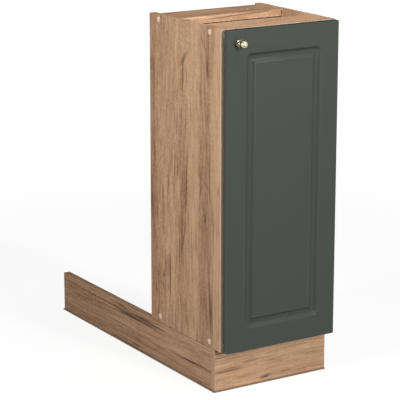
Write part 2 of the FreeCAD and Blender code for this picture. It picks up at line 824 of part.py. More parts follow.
# Legs
leg_names = {
    "front_left": (leg_x[0], leg_y[0]),
    "front_right": (leg_x[1], leg_y[0]),
    "rear_left": (leg_x[0], leg_y[1]),
    "rear_right": (leg_x[1], leg_y[1]),
}
socket_screws = []
for leg_name, (leg_at_x, leg_at_y) in leg_names.items():
    save("leg_socket_" + leg_name, leg_socket(leg_at_x, leg_at_y))
    save("leg_tube_" + leg_name, leg_tube(leg_at_x, leg_at_y))
    save("foot_" + leg_name, leg_foot(leg_at_x, leg_at_y))
    for screw_place in socket_screw_places(leg_at_x, leg_at_y):
        socket_screws.append(screw(screw_place, z_axis, wood_screw))
save("leg_screws", socket_screws)

# Plinth
save("plinth_front", front_plinth())
save("plinth_left", left_plinth())
band_x = (plinth_left_face, plinth_left_face + edge_band)
band = box(band_x[0], band_x[1], plinth_setback, plinth_front_back, seal_height, plinth_top)
save("edge_band_plinth", band)
save("plinth_seal_front", front_seal())
save("plinth_seal_left", left_seal())
save("plinth_clip_front_left", plinth_clip(leg_x[0], leg_y[0], clip_z_front, clip_reach_front))
save("plinth_clip_front_right", plinth_clip(leg_x[1], leg_y[0], clip_z_front, clip_reach_front))
for clip_name, clip_y in (("plinth_clip_side_front", leg_y[0]), ("plinth_clip_side_rear", leg_y[1])):
    clip = plinth_clip(leg_x[0], clip_y, clip_z_left, clip_reach_left)
    save(clip_name, turned(clip, leg_x[0], clip_y))
save("plinth_clip_screws", clip_screws())
save("plinth_bracket", corner_bracket())
save("plinth_bracket_screws", [screw(place, axis, wood_screw) for place, axis in bracket_screw_places()])

# Door and its fittings
save("door_panel", door())
save("door_bumpers", bumpers())
save("knob", knob())
save("knob_screw", knob_screw())
cup_screws = []
plate_screws = []
lock_screws = []
for hinge_name, hinge_level in zip(("upper", "lower"), hinge_z):
    save("hinge_cup_" + hinge_name, hinge_cup(hinge_level))
    save("hinge_pin_" + hinge_name, hinge_pin(hinge_level))
    save("hinge_arm_" + hinge_name, hinge_arm(hinge_level))
    save("hinge_plate_" + hinge_name, hinge_plate(hinge_level))
    for cup_place in cup_screw_places(hinge_level):
        cup_screws.append(screw(cup_place, -y_axis, cup_screw))
    for plate_place in wing_screw_places(hinge_level):
        plate_screws.append(screw(plate_place, x_axis, euro_screw))
    lock_screws.append(screw(lock_screw_place(hinge_level), x_axis, lock_screw))
save("hinge_cup_screws", cup_screws)
save("hinge_plate_screws", plate_screws)
save("hinge_lock_screws", lock_screws)
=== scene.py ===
import math

import bmesh
import bpy
from bpy.props import FloatProperty, FloatVectorProperty, IntProperty, PointerProperty
from mathutils import Color, Euler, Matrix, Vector


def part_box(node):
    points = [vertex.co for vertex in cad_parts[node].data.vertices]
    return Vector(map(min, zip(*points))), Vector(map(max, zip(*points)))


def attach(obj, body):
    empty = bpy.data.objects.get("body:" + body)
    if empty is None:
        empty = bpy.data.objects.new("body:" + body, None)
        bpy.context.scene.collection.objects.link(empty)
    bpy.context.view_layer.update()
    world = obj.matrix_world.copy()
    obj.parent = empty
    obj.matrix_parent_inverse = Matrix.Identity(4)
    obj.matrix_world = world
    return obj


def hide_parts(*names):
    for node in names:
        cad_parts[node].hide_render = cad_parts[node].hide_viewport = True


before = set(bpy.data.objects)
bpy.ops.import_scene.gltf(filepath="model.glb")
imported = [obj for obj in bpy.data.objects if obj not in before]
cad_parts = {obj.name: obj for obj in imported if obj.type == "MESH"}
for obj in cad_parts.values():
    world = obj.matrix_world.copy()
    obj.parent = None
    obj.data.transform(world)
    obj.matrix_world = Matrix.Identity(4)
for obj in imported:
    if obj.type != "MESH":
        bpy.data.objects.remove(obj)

bl_info = {
    "name": "Kitchen base cabinet",
    "version": (1, 0, 0),
    "blender": (4, 5, 0),
    "location": "View3D > Sidebar > Cabinet",
    "description": "Dresses the frame of a narrow kitchen base cabinet with modelled and finished pieces",
    "category": "Object",
}

MM = 0.001
RIGHT = Vector((1, 0, 0))
BACK = Vector((0, 1, 0))
UP = Vector((0, 0, 1))
QUARTER = math.pi / 2
SMOOTH_ANGLE = math.radians(35)
SHARP_ANGLE = math.radians(28)
MERGE_ANGLE = math.radians(0.5)
# Points nearer than this are one point
NEAR = 0.02 * MM
# Least share of a direction in the normal of a face that looks that way
FACING = 0.9
# Digits of a place in metres by which solids are sorted
STEADY_DIGITS = 4
FULL_CHANNEL = 255
WHITE = (1, 1, 1, 1)

# Millimetres: carcass, its boards and the places of the screws through its sides, back from the front and up
CARCASS_WIDTH = 300
BOARD_THICKNESS = 16
SCREW_PLACES = ((42.5, 806), (42.5, 112), (256, 806), (256, 112))
# Millimetres that a cutting tool stands out of its piece, or an added part reaches into it
SPARE = 1

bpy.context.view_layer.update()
front_left_foot = Vector((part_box("side_panel_left")[0].x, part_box("edge_band_left")[0].y, 0))
corner_of = dict(zip("XYZ", front_left_foot))


def spot(x, y, z):
    """Point given in millimetres from the carcass's front left corner on the floor."""
    return front_left_foot + Vector((x, y, z)) * MM


def tone(*channels):
    """Linear colour from sRGB channels of 0 to 255."""
    colour = Color([channel / FULL_CHANNEL for channel in channels])
    return tuple(colour.from_srgb_to_scene_linear())


def opaque(colour):
    """Colour with full alpha, as a colour socket takes it."""
    return (colour[0], colour[1], colour[2], 1.0)


def length_property(name, description, default):
    """Property for a length in metres."""
    return FloatProperty(name=name, description=description, default=default, min=0, unit="LENGTH")


def power_property(name, description, default):
    """Property for a light's power."""
    return FloatProperty(name=name, description=description, default=default, min=0, unit="POWER")


def angle_property(name, description, default):
    """Property for an angle given in degrees."""
    return FloatProperty(name=name, description=description, default=math.radians(default), subtype="ANGLE")


def share_property(name, description, default):
    """Property for a share from 0 to 1."""
    return FloatProperty(name=name, description=description, default=default, min=0, max=1, subtype="FACTOR")


def colour_property(name, description, default):
    """Property for a linear colour."""
    return FloatVectorProperty(
        name=name, description=description, default=default, size=3, min=0, max=1, subtype="COLOR"
    )


class CabinetSizes(bpy.types.PropertyGroup):
    """Sizes of what is modelled on the frame."""

    board_ease: length_property("Board edge", "Width of the eased edge of a coated board", 0.3 * MM)
    band_round: length_property("Band edge", "Rounding along the edge bands", 0.5 * MM)
    door_front_round: length_property("Door front edge", "Rounding of the door's front edges", 1.2 * MM)
    door_back_round: length_property("Door back edge", "Rounding of the door's back edges", 1.5 * MM)
    groove_inset_side: length_property("Groove from side", "Door side to groove middle", 57.5 * MM)
    groove_inset_end: length_property("Groove from end", "Door top or bottom to groove middle", 62.8 * MM)
    cup_radius: length_property("Hinge bore", "Radius of the bore for a hinge cup", 17.55 * MM)
    cup_depth: length_property("Hinge bore depth", "Depth of the bore for a hinge cup", 13.3 * MM)
    moulding_ease: length_property("Moulding edge", "Eased edge of moulded fittings", 0.4 * MM)
    pressing_ease: length_property("Pressing edge", "Eased edge of pressed steel fittings", 0.3 * MM)
    turning_corners: IntProperty(
        name="Turning corners", description="Corners round a turned piece", default=48, min=12, max=128
    )


class CabinetColours(bpy.types.PropertyGroup):
    """Colours of the finishes."""

    oak_pale: colour_property("Oak pale", "Pale streaks of the oak coating", tone(216, 177, 143))
    oak_deep: colour_property("Oak deep", "Deep streaks of the oak coating", tone(146, 107, 79))
    oak_mark: colour_property("Oak marks", "Cracks and knots of the oak coating", tone(88, 60, 43))
    band: colour_property("Edge band", "Edge bands along the front", tone(196, 172, 147))
    plinth_band: colour_property("Plinth edge band", "Edge band at the plinth's corner", tone(180, 142, 108))
    core: colour_property("Board core", "Bare chipboard edges", tone(178, 150, 118))
    back: colour_property("Back board", "Thin back board", tone(168, 136, 108))
    door: colour_property("Door paint", "Matt paint of the door", tone(62, 67, 61))
    brass: colour_property("Brass", "Knob", tone(198, 184, 152))
    # Dark brass used as painted shade in the knob's grooves, and faintly for the haze of its polish
    brass_shade: colour_property("Dull brass", "Grooves of the knob", tone(62, 56, 44))
    steel: colour_property("Steel", "Screws and pins", tone(176, 178, 180))
    nickel: colour_property("Nickel", "Hinges", tone(196, 195, 190))
    plastic: colour_property("Dark plastic", "Legs and clips", tone(34, 34, 36))
    cap: colour_property("Cap plastic", "Screw caps", tone(230, 198, 165))
    seal: colour_property("Seal", "Soft strip under the plinth", tone(124, 104, 88))
    dowel: colour_property("Dowel", "Beech dowels", tone(214, 184, 146))
    bumper: colour_property("Bumper", "Soft dots on the door", tone(206, 208, 206))


class CabinetStage(bpy.types.PropertyGroup):
    """Floor, light and camera."""

    floor: colour_property("Floor", "Pale floor", (0.18, 0.18, 0.18))
    floor_lift: share_property("Floor lift", "How far the shadow near the cabinet is lifted to white", 0.86)
    front_power: power_property("Front light", "Power of the front light", 20)
    side_power: power_property("Side light", "Power of the left light", 10.5)
    top_power: power_property("Top light", "Power of the light above", 2.4)
    sky: share_property("Sky", "Level of the even light from all round", 0.28)
    lens: FloatProperty(
        name="Lens", description="Focal length in millimetres", default=162, min=1, unit="CAMERA"
    )
    heading: angle_property("Heading", "Camera's turn from straight ahead to the right", 31.98)
    pitch: angle_property("Pitch", "Camera's tilt downwards", 14.36)


# Modelling


def start_piece():
    """Clears the selection, so that the next operator acts on one piece alone."""
    active = bpy.context.view_layer.objects.active
    if active is not None and active.mode != "OBJECT":
        bpy.ops.object.mode_set(mode="OBJECT")
    bpy.ops.object.select_all(action="DESELECT")


def choose(piece):
    """Makes a piece the only selected one."""
    start_piece()
    piece.select_set(True)
    bpy.context.view_layer.objects.active = piece


def settle(name):
    """Names the new piece and puts its place into its mesh."""
    bpy.ops.object.transform_apply(location=True, rotation=True, scale=True)
    piece = bpy.context.active_object
    piece.name = name
    piece.data.name = name
    return piece


def edit(piece):
    """Opens a piece in edit mode with nothing selected."""
    choose(piece)
    bpy.ops.object.mode_set(mode="EDIT")
    bpy.ops.mesh.select_mode(type="EDGE")
    bpy.ops.mesh.select_all(action="DESELECT")


def leave():
    """Goes back to object mode."""
    bpy.ops.object.mode_set(mode="OBJECT")


def pick_edges(piece, test):
    """Selects the edges of the open piece that pass a test."""
    mesh = bmesh.from_edit_mesh(piece.data)
    for edge in mesh.edges:
        edge.select_set(test(edge))
    mesh.select_flush_mode()
    bmesh.update_edit_mesh(piece.data)


def pick_faces(piece, test):
    """Selects the faces of the open piece that pass a test."""
    bpy.ops.mesh.select_mode(type="FACE")
    mesh = bmesh.from_edit_mesh(piece.data)
    mesh.normal_update()
    for face in mesh.faces:
        face.select_set(test(face))
    mesh.select_flush_mode()
    bmesh.update_edit_mesh(piece.data)


def is_sharp(edge):
    """True where two faces meet at a clear corner."""
    return len(edge.link_faces) == 2 and edge.calc_face_angle(0) > SHARP_ANGLE


def ease(piece, width, segments=2, test=is_sharp):
    """Rounds the chosen edges of a piece."""
    edit(piece)
    pick_edges(piece, test)
    bpy.ops.mesh.bevel(offset=width, segments=segments, affect="EDGES", clamp_overlap=True)
    leave()
    return piece


def block(name, low, high):
    """Adds a block between two corners."""
    start_piece()
    low = Vector(low)
    high = Vector(high)
    bpy.ops.mesh.primitive_cube_add(size=1, location=(low + high) / 2, scale=high - low)
    return settle(name)


def rod(name, start, axis, radius, length, corners=32):
    """Adds a round bar from a point along an axis."""
    start_piece()
    turn = axis.to_track_quat("Z", "Y").to_euler()
    bpy.ops.mesh.primitive_cylinder_add(
        vertices=corners, radius=radius, depth=length, location=start + axis * length / 2, rotation=turn
    )
    return settle(name)


def turned(name, base, axis, rings, corners):
    """Draws a circle out along an axis, ring by ring; each ring is a radius and a reach in millimetres."""
    start_piece()
    turn = axis.to_track_quat("Z", "Y").to_euler()
    radius, reach = rings[0]
    start = base + axis * reach * MM
    bpy.ops.mesh.primitive_circle_add(
        vertices=corners, radius=radius * MM, fill_type="NGON", location=start, rotation=turn
    )
    piece = settle(name)
    bpy.ops.object.mode_set(mode="EDIT")
    bpy.ops.mesh.select_mode(type="FACE")
    bpy.ops.mesh.select_all(action="SELECT")
    for next_radius, next_reach in rings[1:]:
        step = axis * (next_reach - reach) * MM
        bpy.ops.mesh.extrude_region_move(TRANSFORM_OT_translate={"value": step})
        share = next_radius / radius
        centre = base + axis * next_reach * MM
        bpy.ops.transform.resize(value=(share, share, share), center_override=centre)
        radius = next_radius
        reach = next_reach
    bpy.ops.mesh.select_all(action="SELECT")
    bpy.ops.mesh.normals_make_consistent(inside=False)
    leave()
    return piece


def join(name, pieces):
    """Joins pieces into one."""
    choose(pieces[0])
    for piece in pieces[1:]:
        piece.select_set(True)
    if len(pieces) > 1:
        bpy.ops.object.join()
    pieces[0].name = name
    pieces[0].data.name = name
    return pieces[0]


def combine(piece, tools, operation="DIFFERENCE"):
    """Cuts tools out of a piece or adds them to it, and removes them."""
    tool = join("tool", tools)
    modifier = piece.modifiers.new("Shape", "BOOLEAN")
    modifier.operation = operation
    modifier.solver = "EXACT"
    modifier.object = tool
    choose(piece)
    bpy.ops.object.modifier_apply(modifier=modifier.name)
    bpy.data.objects.remove(tool, do_unlink=True)
    return piece


def copy_moved(piece, name, shift):
    """Copies a piece with its own mesh and moves the copy."""
    choose(piece)
    bpy.ops.object.duplicate(linked=False)
    bpy.ops.transform.translate(value=shift)
    return settle(name)


def span(first, second):
    """Lower and upper corner of the box between two points."""
    low = Vector([min(pair) for pair in zip(first, second)])
    high = Vector([max(pair) for pair in zip(first, second)])
    return low, high


def middle_of(node):
    """Middle of a frame node's box."""
    low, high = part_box(node)
    return (low + high) / 2


def solids(node):
    """Boxes of the separate solids in a frame node, in a steady order."""
    mesh = bmesh.new()
    mesh.from_mesh(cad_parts[node].data)
    bmesh.ops.remove_doubles(mesh, verts=mesh.verts, dist=NEAR)
    left = set(mesh.verts)
    boxes = []
    while left:
        waiting = [left.pop()]
        corners = []
        while waiting:
            vert = waiting.pop()
            corners.append(vert.co.copy())
            for edge in vert.link_edges:
                neighbour = edge.other_vert(vert)
                if neighbour in left:
                    left.remove(neighbour)
                    waiting.append(neighbour)
        low = Vector([min(corner[axis] for corner in corners) for axis in range(3)])
        high = Vector([max(corner[axis] for corner in corners) for axis in range(3)])
        boxes.append((low, high))
    mesh.free()
    return sorted(boxes, key=lambda found: [round(value, STEADY_DIGITS) for value in found[0]])


def eased_node(node, name, width):
    """Copy of a frame node whose triangles are merged into faces and whose edges are rounded."""
    start_piece()
    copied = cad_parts[node].copy()
    copied.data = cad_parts[node].data.copy()
    copied.parent = None
    for key in list(copied.keys()):
        del copied[key]
    bpy.context.scene.collection.objects.link(copied)
    copied.name = name
    copied.data.name = name
    copied.data.materials.clear()
    edit(copied)
    bpy.ops.mesh.select_all(action="SELECT")
    bpy.ops.mesh.remove_doubles(threshold=NEAR)
    bpy.ops.mesh.dissolve_limited(angle_limit=MERGE_ANGLE)
    leave()
    if width > 0:
        ease(copied, width)
    return copied


def finish(piece, node_names, body, material):
    """Shades a piece, gives it its finish and body, and lets it stand for its frame nodes."""
    choose(piece)
    bpy.ops.object.shade_smooth_by_angle(angle=SMOOTH_ANGLE)
    modifier = piece.modifiers.new("Normals", "WEIGHTED_NORMAL")
    modifier.keep_sharp = True
    bpy.ops.object.modifier_apply(modifier=modifier.name)
    if not piece.data.materials:
        piece.data.materials.append(material)
    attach(piece, body)
    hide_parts(*node_names)
    return piece


# Materials


FLOAT = "NodeSocketFloat"
COLOUR = "NodeSocketColor"
VECTOR = "NodeSocketVector"

NOISE_MIDDLE = 0.5

# Sockets of a Mix node that mixes colours
MIX_SHARE = 0
MIX_FIRST = 6
MIX_SECOND = 7
MIX_RESULT = 2

# Layers of the oak figure: grains per metre across, through and along the board, detail and roughness
OAK_LAYERS = {
    "planks": ((13, 13, 0.5), 1, 0.5),
    "streaks": ((40, 40, 2.2), 3, 0.55),
    "fibres": ((125, 125, 15), 4, 0.6),
    "grit": ((190, 190, 150), 2, 0.6),
    "hairs": ((120, 120, 6), 3, 0.6),
    "sawn": ((9, 9, 3), 2, 0.5),
    "smudges": ((30, 30, 7), 3, 0.6),
    "flecks": ((100, 100, 13), 3, 0.6),
    "ridges": ((20, 20, 0.7), 1, 0.5),
    "rare": ((9, 9, 2.2), 1, 0.5),
}
OAK_SWAY_LAYER = ((7, 7, 1.6), 1, 0.5)
OAK_SAW_LAYER = ((5, 5, 300), 1, 0.5)
# Ranges of a layer over which it comes in, and the range that it is given where that isn't 0 to 1
OAK_RANGES = {
    "hairs": (0.59, 0.69),
    "sawn": (0.45, 0.65, 0.05, 0.3),
    "smudges": (0.55, 0.72),
    "flecks": (0.6, 0.7),
    "rare": (0.5, 0.62),
}
OAK_WEIGHTS = {"planks": 0.6, "streaks": 0.8, "fibres": 1.2, "grit": 0.8, "smudges": -0.25}
OAK_DEEP_TOTAL = 1.0
OAK_PALE_TOTAL = 2.4
OAK_DARK = {"cracks": 0.8, "flecks": 0.4, "hairs": 0.45}
OAK_SWAY = 30 * MM
OAK_CRACK = 0.018
OAK_ROUGHNESS = 0.42
OAK_ROUGHNESS_SPREAD = 0.16
OAK_FIBRE_HEIGHT = 0.5
OAK_RELIEF = 0.35
OAK_RELIEF_DEPTH = 0.25 * MM

# Cracks and knots: their wobble and patchiness as layers, and how softly they end
MARK_WOBBLE_LAYER = ((30, 30, 22), 3, 0.6)
MARK_PATCH_LAYER = ((160, 160, 14), 2, 0.5)
MARK_PATCH_RANGE = (0.3, 0.6, 0.55, 1.0)
MARK_CORE = 0.15

# Even finishes: detail and roughness of the fine mottling, the broad one, their shares and the gloss
FINE_DETAIL = (3, 0.6)
BROAD_LAYER = ((18, 18, 18), 2, 0.5)
FINE_SHARE = 0.65
BROAD_SHARE = 0.35
MOTTLE_RANGE = (0.3, 0.7)
GLOSS_SPREAD = 0.16
FINE_RELIEF_DEPTH = 0.1 * MM

# Brass: grains per metre, dulling of the polish, inner share of a band of painted shade, gloss and relief
BRASS_GRAIN = (700, 700, 700)
BRASS_HAZE = 0.12
BRASS_BAND_CORE = 0.8
BRASS_ROUGHNESS = 0.2
BRASS_DULL_ROUGHNESS = 0.35
BRASS_RELIEF = 0.03


def place_node(tree, kind, inputs=None, **settings):
    """Adds a shader node; an input is a value or the socket that feeds it."""
    made = tree.nodes.new(kind)
    for key, value in settings.items():
        setattr(made, key, value)
    for key, value in (inputs or {}).items():
        if isinstance(value, bpy.types.NodeSocket):
            tree.links.new(value, made.inputs[key])
        else:
            made.inputs[key].default_value = value
    return made


def maths(tree, operation, first, second=0.0, third=0.0):
    """Output of a Math node."""
    return place_node(tree, "ShaderNodeMath", {0: first, 1: second, 2: third}, operation=operation).outputs[0]


def stretched(tree, vector, scales):
    """Vector with each axis scaled."""
    made = place_node(tree, "ShaderNodeVectorMath", {0: vector, 1: scales}, operation="MULTIPLY")
    return made.outputs["Vector"]


def noise(tree, vector, scales, detail=2.0, roughness=0.5):
    """Noise from 0 to 1 whose grains are stretched along the axes."""
    made = place_node(
        tree, "ShaderNodeTexNoise",
        {"Vector": stretched(tree, vector, scales), "Scale": 1.0, "Detail": detail, "Roughness": roughness}
    )
    return made.outputs["Fac"]


def ramp(tree, value, low, high, to_low=0.0, to_high=1.0):
    """Value mapped smoothly from one range to another."""
    made = place_node(
        tree, "ShaderNodeMapRange",
        {"Value": value, "From Min": low, "From Max": high, "To Min": to_low, "To Max": to_high},
        interpolation_type="SMOOTHSTEP"
    )
    return made.outputs["Result"]


def blend(tree, share, first, second, kind="MIX"):
    """Colour between two colours."""
    given = {MIX_SHARE: share, MIX_FIRST: first, MIX_SECOND: second}
    made = place_node(tree, "ShaderNodeMix", given, data_type="RGBA", blend_type=kind)
    return made.outputs[MIX_RESULT]


def group_with(name, inputs, outputs):
    """New shader node group with named sockets; returns its tree, inputs and outputs."""
    tree = bpy.data.node_groups.new(name, "ShaderNodeTree")
    for label, kind in inputs:
        tree.interface.new_socket(label, in_out="INPUT", socket_type=kind)
    for label, kind in outputs:
        tree.interface.new_socket(label, in_out="OUTPUT", socket_type=kind)
    entry = tree.nodes.new("NodeGroupInput")
    leaving = tree.nodes.new("NodeGroupOutput")
    return tree, entry.outputs, leaving.inputs


def oak_figure():
    """Group for the printed oak: grain runs along Z of its vector, in metres."""
    tree, given, result = group_with(
        "Oak figure",
        [("Vector", VECTOR), ("Pale", COLOUR), ("Deep", COLOUR), ("Mark", COLOUR)],
        [("Color", COLOUR), ("Roughness", FLOAT), ("Height", FLOAT)],
    )
    sway = noise(tree, given["Vector"], *OAK_SWAY_LAYER)
    drift = maths(tree, "MULTIPLY_ADD", sway, OAK_SWAY, -OAK_SWAY / 2)
    shift = place_node(tree, "ShaderNodeCombineXYZ", {"X": drift, "Y": drift}).outputs[0]
    bent = place_node(
        tree, "ShaderNodeVectorMath", {0: given["Vector"], 1: shift}, operation="ADD"
    ).outputs["Vector"]
    layers = {name: noise(tree, bent, *layer) for name, layer in OAK_LAYERS.items()}
    for name, limits in OAK_RANGES.items():
        layers[name] = ramp(tree, layers[name], *limits)
    ridge = maths(tree, "ABSOLUTE", maths(tree, "SUBTRACT", layers["ridges"], NOISE_MIDDLE))
    thin = ramp(tree, ridge, 0.0, OAK_CRACK, 1.0, 0.0)
    layers["cracks"] = maths(tree, "MULTIPLY", thin, layers["rare"])
    saw = noise(tree, given["Vector"], *OAK_SAW_LAYER)
    total = maths(tree, "MULTIPLY", saw, layers["sawn"])
    for name, weight in OAK_WEIGHTS.items():
        total = maths(tree, "MULTIPLY_ADD", layers[name], weight, total)
    share = ramp(tree, total, OAK_DEEP_TOTAL, OAK_PALE_TOTAL)
    colour = blend(tree, share, given["Deep"], given["Pale"])
    dark = 0.0
    for name, depth in OAK_DARK.items():
        dark = maths(tree, "MAXIMUM", dark, maths(tree, "MULTIPLY", layers[name], depth))
    tree.links.new(blend(tree, dark, colour, given["Mark"]), result["Color"])
    roughness = maths(tree, "MULTIPLY_ADD", layers["fibres"], OAK_ROUGHNESS_SPREAD, OAK_ROUGHNESS)
    tree.links.new(roughness, result["Roughness"])
    height = maths(tree, "SUBTRACT", maths(tree, "MULTIPLY", layers["fibres"], OAK_FIBRE_HEIGHT), dark)
    tree.links.new(height, result["Height"])
    return tree


def grain_mark():
    """Group for one crack or knot: a soft ellipse that leans and wobbles along the grain."""
    tree, given, result = group_with(
        "Grain mark",
        [
            ("Across", FLOAT), ("Along", FLOAT), ("Centre Across", FLOAT), ("Centre Along", FLOAT),
            ("Half Width", FLOAT), ("Half Length", FLOAT), ("Lean", FLOAT), ("Wobble", FLOAT),
        ],
        [("Mask", FLOAT)],
    )
    along = maths(tree, "SUBTRACT", given["Along"], given["Centre Along"])
    across = maths(tree, "SUBTRACT", given["Across"], given["Centre Across"])
    across = maths(tree, "SUBTRACT", across, maths(tree, "MULTIPLY", along, given["Lean"]))
    line = place_node(tree, "ShaderNodeCombineXYZ", {"X": given["Across"], "Z": given["Along"]}).outputs[0]
    bend = maths(tree, "SUBTRACT", noise(tree, line, *MARK_WOBBLE_LAYER), NOISE_MIDDLE)
    across = maths(tree, "MULTIPLY_ADD", bend, given["Wobble"], across)
    wide = maths(tree, "POWER", maths(tree, "DIVIDE", across, given["Half Width"]), 2)
    long = maths(tree, "POWER", maths(tree, "DIVIDE", along, given["Half Length"]), 2)
    reach = maths(tree, "SQRT", maths(tree, "ADD", wide, long))
    patches = ramp(tree, noise(tree, line, *MARK_PATCH_LAYER), *MARK_PATCH_RANGE)
    mask = maths(tree, "MULTIPLY", ramp(tree, reach, MARK_CORE, 1.0, 1.0, 0.0), patches)
    tree.links.new(mask, result["Mask"])
    return tree


def fine_mottle():
    """Group for the fine mottling of an even finish: grain is in grains per metre along each axis."""
    tree, given, result = group_with(
        "Fine mottle",
        [("Vector", VECTOR), ("Grain", VECTOR), ("Pale", COLOUR), ("Deep", COLOUR), ("Roughness", FLOAT)],
        [("Color", COLOUR), ("Roughness", FLOAT), ("Height", FLOAT)],
    )
    fine = noise(tree, given["Vector"], given["Grain"], *FINE_DETAIL)
    broad = noise(tree, given["Vector"], *BROAD_LAYER)
    total = maths(tree, "MULTIPLY_ADD", fine, FINE_SHARE, maths(tree, "MULTIPLY", broad, BROAD_SHARE))
    colour = blend(tree, ramp(tree, total, *MOTTLE_RANGE), given["Deep"], given["Pale"])
    tree.links.new(colour, result["Color"])
    least = maths(tree, "SUBTRACT", given["Roughness"], GLOSS_SPREAD / 2)
    tree.links.new(maths(tree, "MULTIPLY_ADD", fine, GLOSS_SPREAD, least), result["Roughness"])
    tree.links.new(fine, result["Height"])
    return tree


def new_material(name):
    """Empty node material with its surface shader."""
    material = bpy.data.materials.new(name)
    material.use_nodes = True
    tree = material.node_tree
    tree.nodes.clear()
    surface = tree.nodes.new("ShaderNodeBsdfPrincipled")
    out = tree.nodes.new("ShaderNodeOutputMaterial")
    tree.links.new(surface.outputs[0], out.inputs["Surface"])
    return material, tree, surface


def object_place(tree, turn=(0, 0, 0), shift=(0, 0, 0), scale=(1, 1, 1)):
    """Object coordinates, scaled, turned and shifted."""
    coordinates = place_node(tree, "ShaderNodeTexCoord").outputs["Object"]
    given = {"Vector": coordinates, "Rotation": turn, "Location": shift, "Scale": scale}
    return place_node(tree, "ShaderNodeMapping", given).outputs["Vector"]


def object_axes(tree):
    """Object coordinates by axis."""
    coordinates = place_node(tree, "ShaderNodeTexCoord").outputs["Object"]
    return place_node(tree, "ShaderNodeSeparateXYZ", {0: coordinates}).outputs


def bump(tree, surface, height, strength, distance):
    """Fine relief on a surface."""
    made = place_node(
        tree, "ShaderNodeBump", {"Height": height, "Strength": strength, "Distance": distance}
    )
    tree.links.new(made.outputs["Normal"], surface.inputs["Normal"])


def oak_material(
    name, groups, colours, turn, shift, marks=(), across_axis="Y", along_axis="Z", level=1.0, fade=None,
    scale=(1, 1, 1), calm=0.0
):
    """Oak coating. Each mark is its centre across and along, half width, half length, lean, wobble and depth,
    in millimetres from the carcass's corner, and a mark of negative depth is pale. Level scales the colour:
    above 1 it is painted light and below 1 painted shade. A falloff of painted shade along the board is where
    it starts and ends, and its last level. Calm evens the figure."""
    material, tree, surface = new_material(name)
    pale = Vector(colours.oak_pale) * level
    deep = Vector(colours.oak_deep) * level
    middle = pale.lerp(deep, 0.5)
    figure = place_node(
        tree, "ShaderNodeGroup",
        {
            "Vector": object_place(tree, turn, shift, scale),
            "Pale": opaque(pale.lerp(middle, calm)),
            "Deep": opaque(deep.lerp(middle, calm)),
            "Mark": opaque(colours.oak_mark),
        },
        node_tree=groups["oak"]
    )
    colour = figure.outputs["Color"]
    axes = object_axes(tree) if marks or fade else {}
    across_corner = corner_of[across_axis]
    along_corner = corner_of[along_axis]
    for across, along, half_width, half_length, lean, wobble, depth in marks:
        mark = place_node(
            tree, "ShaderNodeGroup",
            {
                "Across": axes[across_axis], "Centre Across": across_corner + across * MM,
                "Along": axes[along_axis], "Centre Along": along_corner + along * MM,
                "Half Width": half_width * MM, "Half Length": half_length * MM,
                "Lean": lean, "Wobble": wobble * MM,
            },
            node_tree=groups["mark"]
        )
        share = maths(tree, "MULTIPLY", mark.outputs["Mask"], abs(depth))
        target = colours.oak_mark if depth > 0 else colours.oak_pale
        colour = blend(tree, share, colour, opaque(target))
    # Painted shade: the colour darkens along the board towards the falloff's end.
    if fade:
        start, end, last_level = fade
        painted_falloff_ramp = ramp(
            tree, axes[along_axis], along_corner + start * MM, along_corner + end * MM, 1.0, last_level
        )
        colour = blend(tree, 1.0, colour, painted_falloff_ramp, "MULTIPLY")
    tree.links.new(colour, surface.inputs["Base Color"])
    tree.links.new(figure.outputs["Roughness"], surface.inputs["Roughness"])
    surface.inputs["Specular IOR Level"].default_value = 0.0
    bump(tree, surface, figure.outputs["Height"], OAK_RELIEF, OAK_RELIEF_DEPTH)
    return material


def even_material(name, group, colour, grain, mottle, rough, metallic=0.0, relief=0.1, specular=0.5):
    """Even finish with fine mottling in its colour, gloss and relief."""
    material, tree, surface = new_material(name)
    pale = [min(1.0, channel * (1 + mottle)) for channel in colour]
    deep = [channel * (1 - mottle) for channel in colour]
    figure = place_node(
        tree, "ShaderNodeGroup",
        {
            "Vector": object_place(tree), "Grain": grain, "Pale": opaque(pale), "Deep": opaque(deep),
            "Roughness": rough,
        },
        node_tree=group
    )
    tree.links.new(figure.outputs["Color"], surface.inputs["Base Color"])
    tree.links.new(figure.outputs["Roughness"], surface.inputs["Roughness"])
    surface.inputs["Metallic"].default_value = metallic
    surface.inputs["Specular IOR Level"].default_value = specular
    bump(tree, surface, figure.outputs["Height"], relief, FINE_RELIEF_DEPTH)
    return material


def turned_brass(name, colours, start, painted_shade_bands):
    """Polished brass with painted shade in its turned grooves, where it is also rougher; a band is a reach
    and a half width.
    """
    material, tree, surface = new_material(name)
    fine = noise(tree, object_place(tree), BRASS_GRAIN, *FINE_DETAIL)
    reach = maths(tree, "SUBTRACT", start, object_axes(tree)["Y"])
    haze_and_painted_shade = maths(tree, "MULTIPLY", fine, BRASS_HAZE)
    # Each band darkens a groove of the knob as painted shade and makes it rougher.
    for middle, half_width in painted_shade_bands:
        off = maths(tree, "ABSOLUTE", maths(tree, "SUBTRACT", reach, middle * MM))
        band = ramp(tree, off, BRASS_BAND_CORE * half_width * MM, half_width * MM, 1.0, 0.0)
        haze_and_painted_shade = maths(tree, "MAXIMUM", haze_and_painted_shade, band)
    mixed = blend(tree, haze_and_painted_shade, opaque(colours.brass), opaque(colours.brass_shade))
    tree.links.new(mixed, surface.inputs["Base Color"])
    gloss = maths(tree, "MULTIPLY_ADD", haze_and_painted_shade, BRASS_DULL_ROUGHNESS, BRASS_ROUGHNESS)
    tree.links.new(gloss, surface.inputs["Roughness"])
    surface.inputs["Metallic"].default_value = 1.0
    bump(tree, surface, fine, BRASS_RELIEF, FINE_RELIEF_DEPTH)
    return material


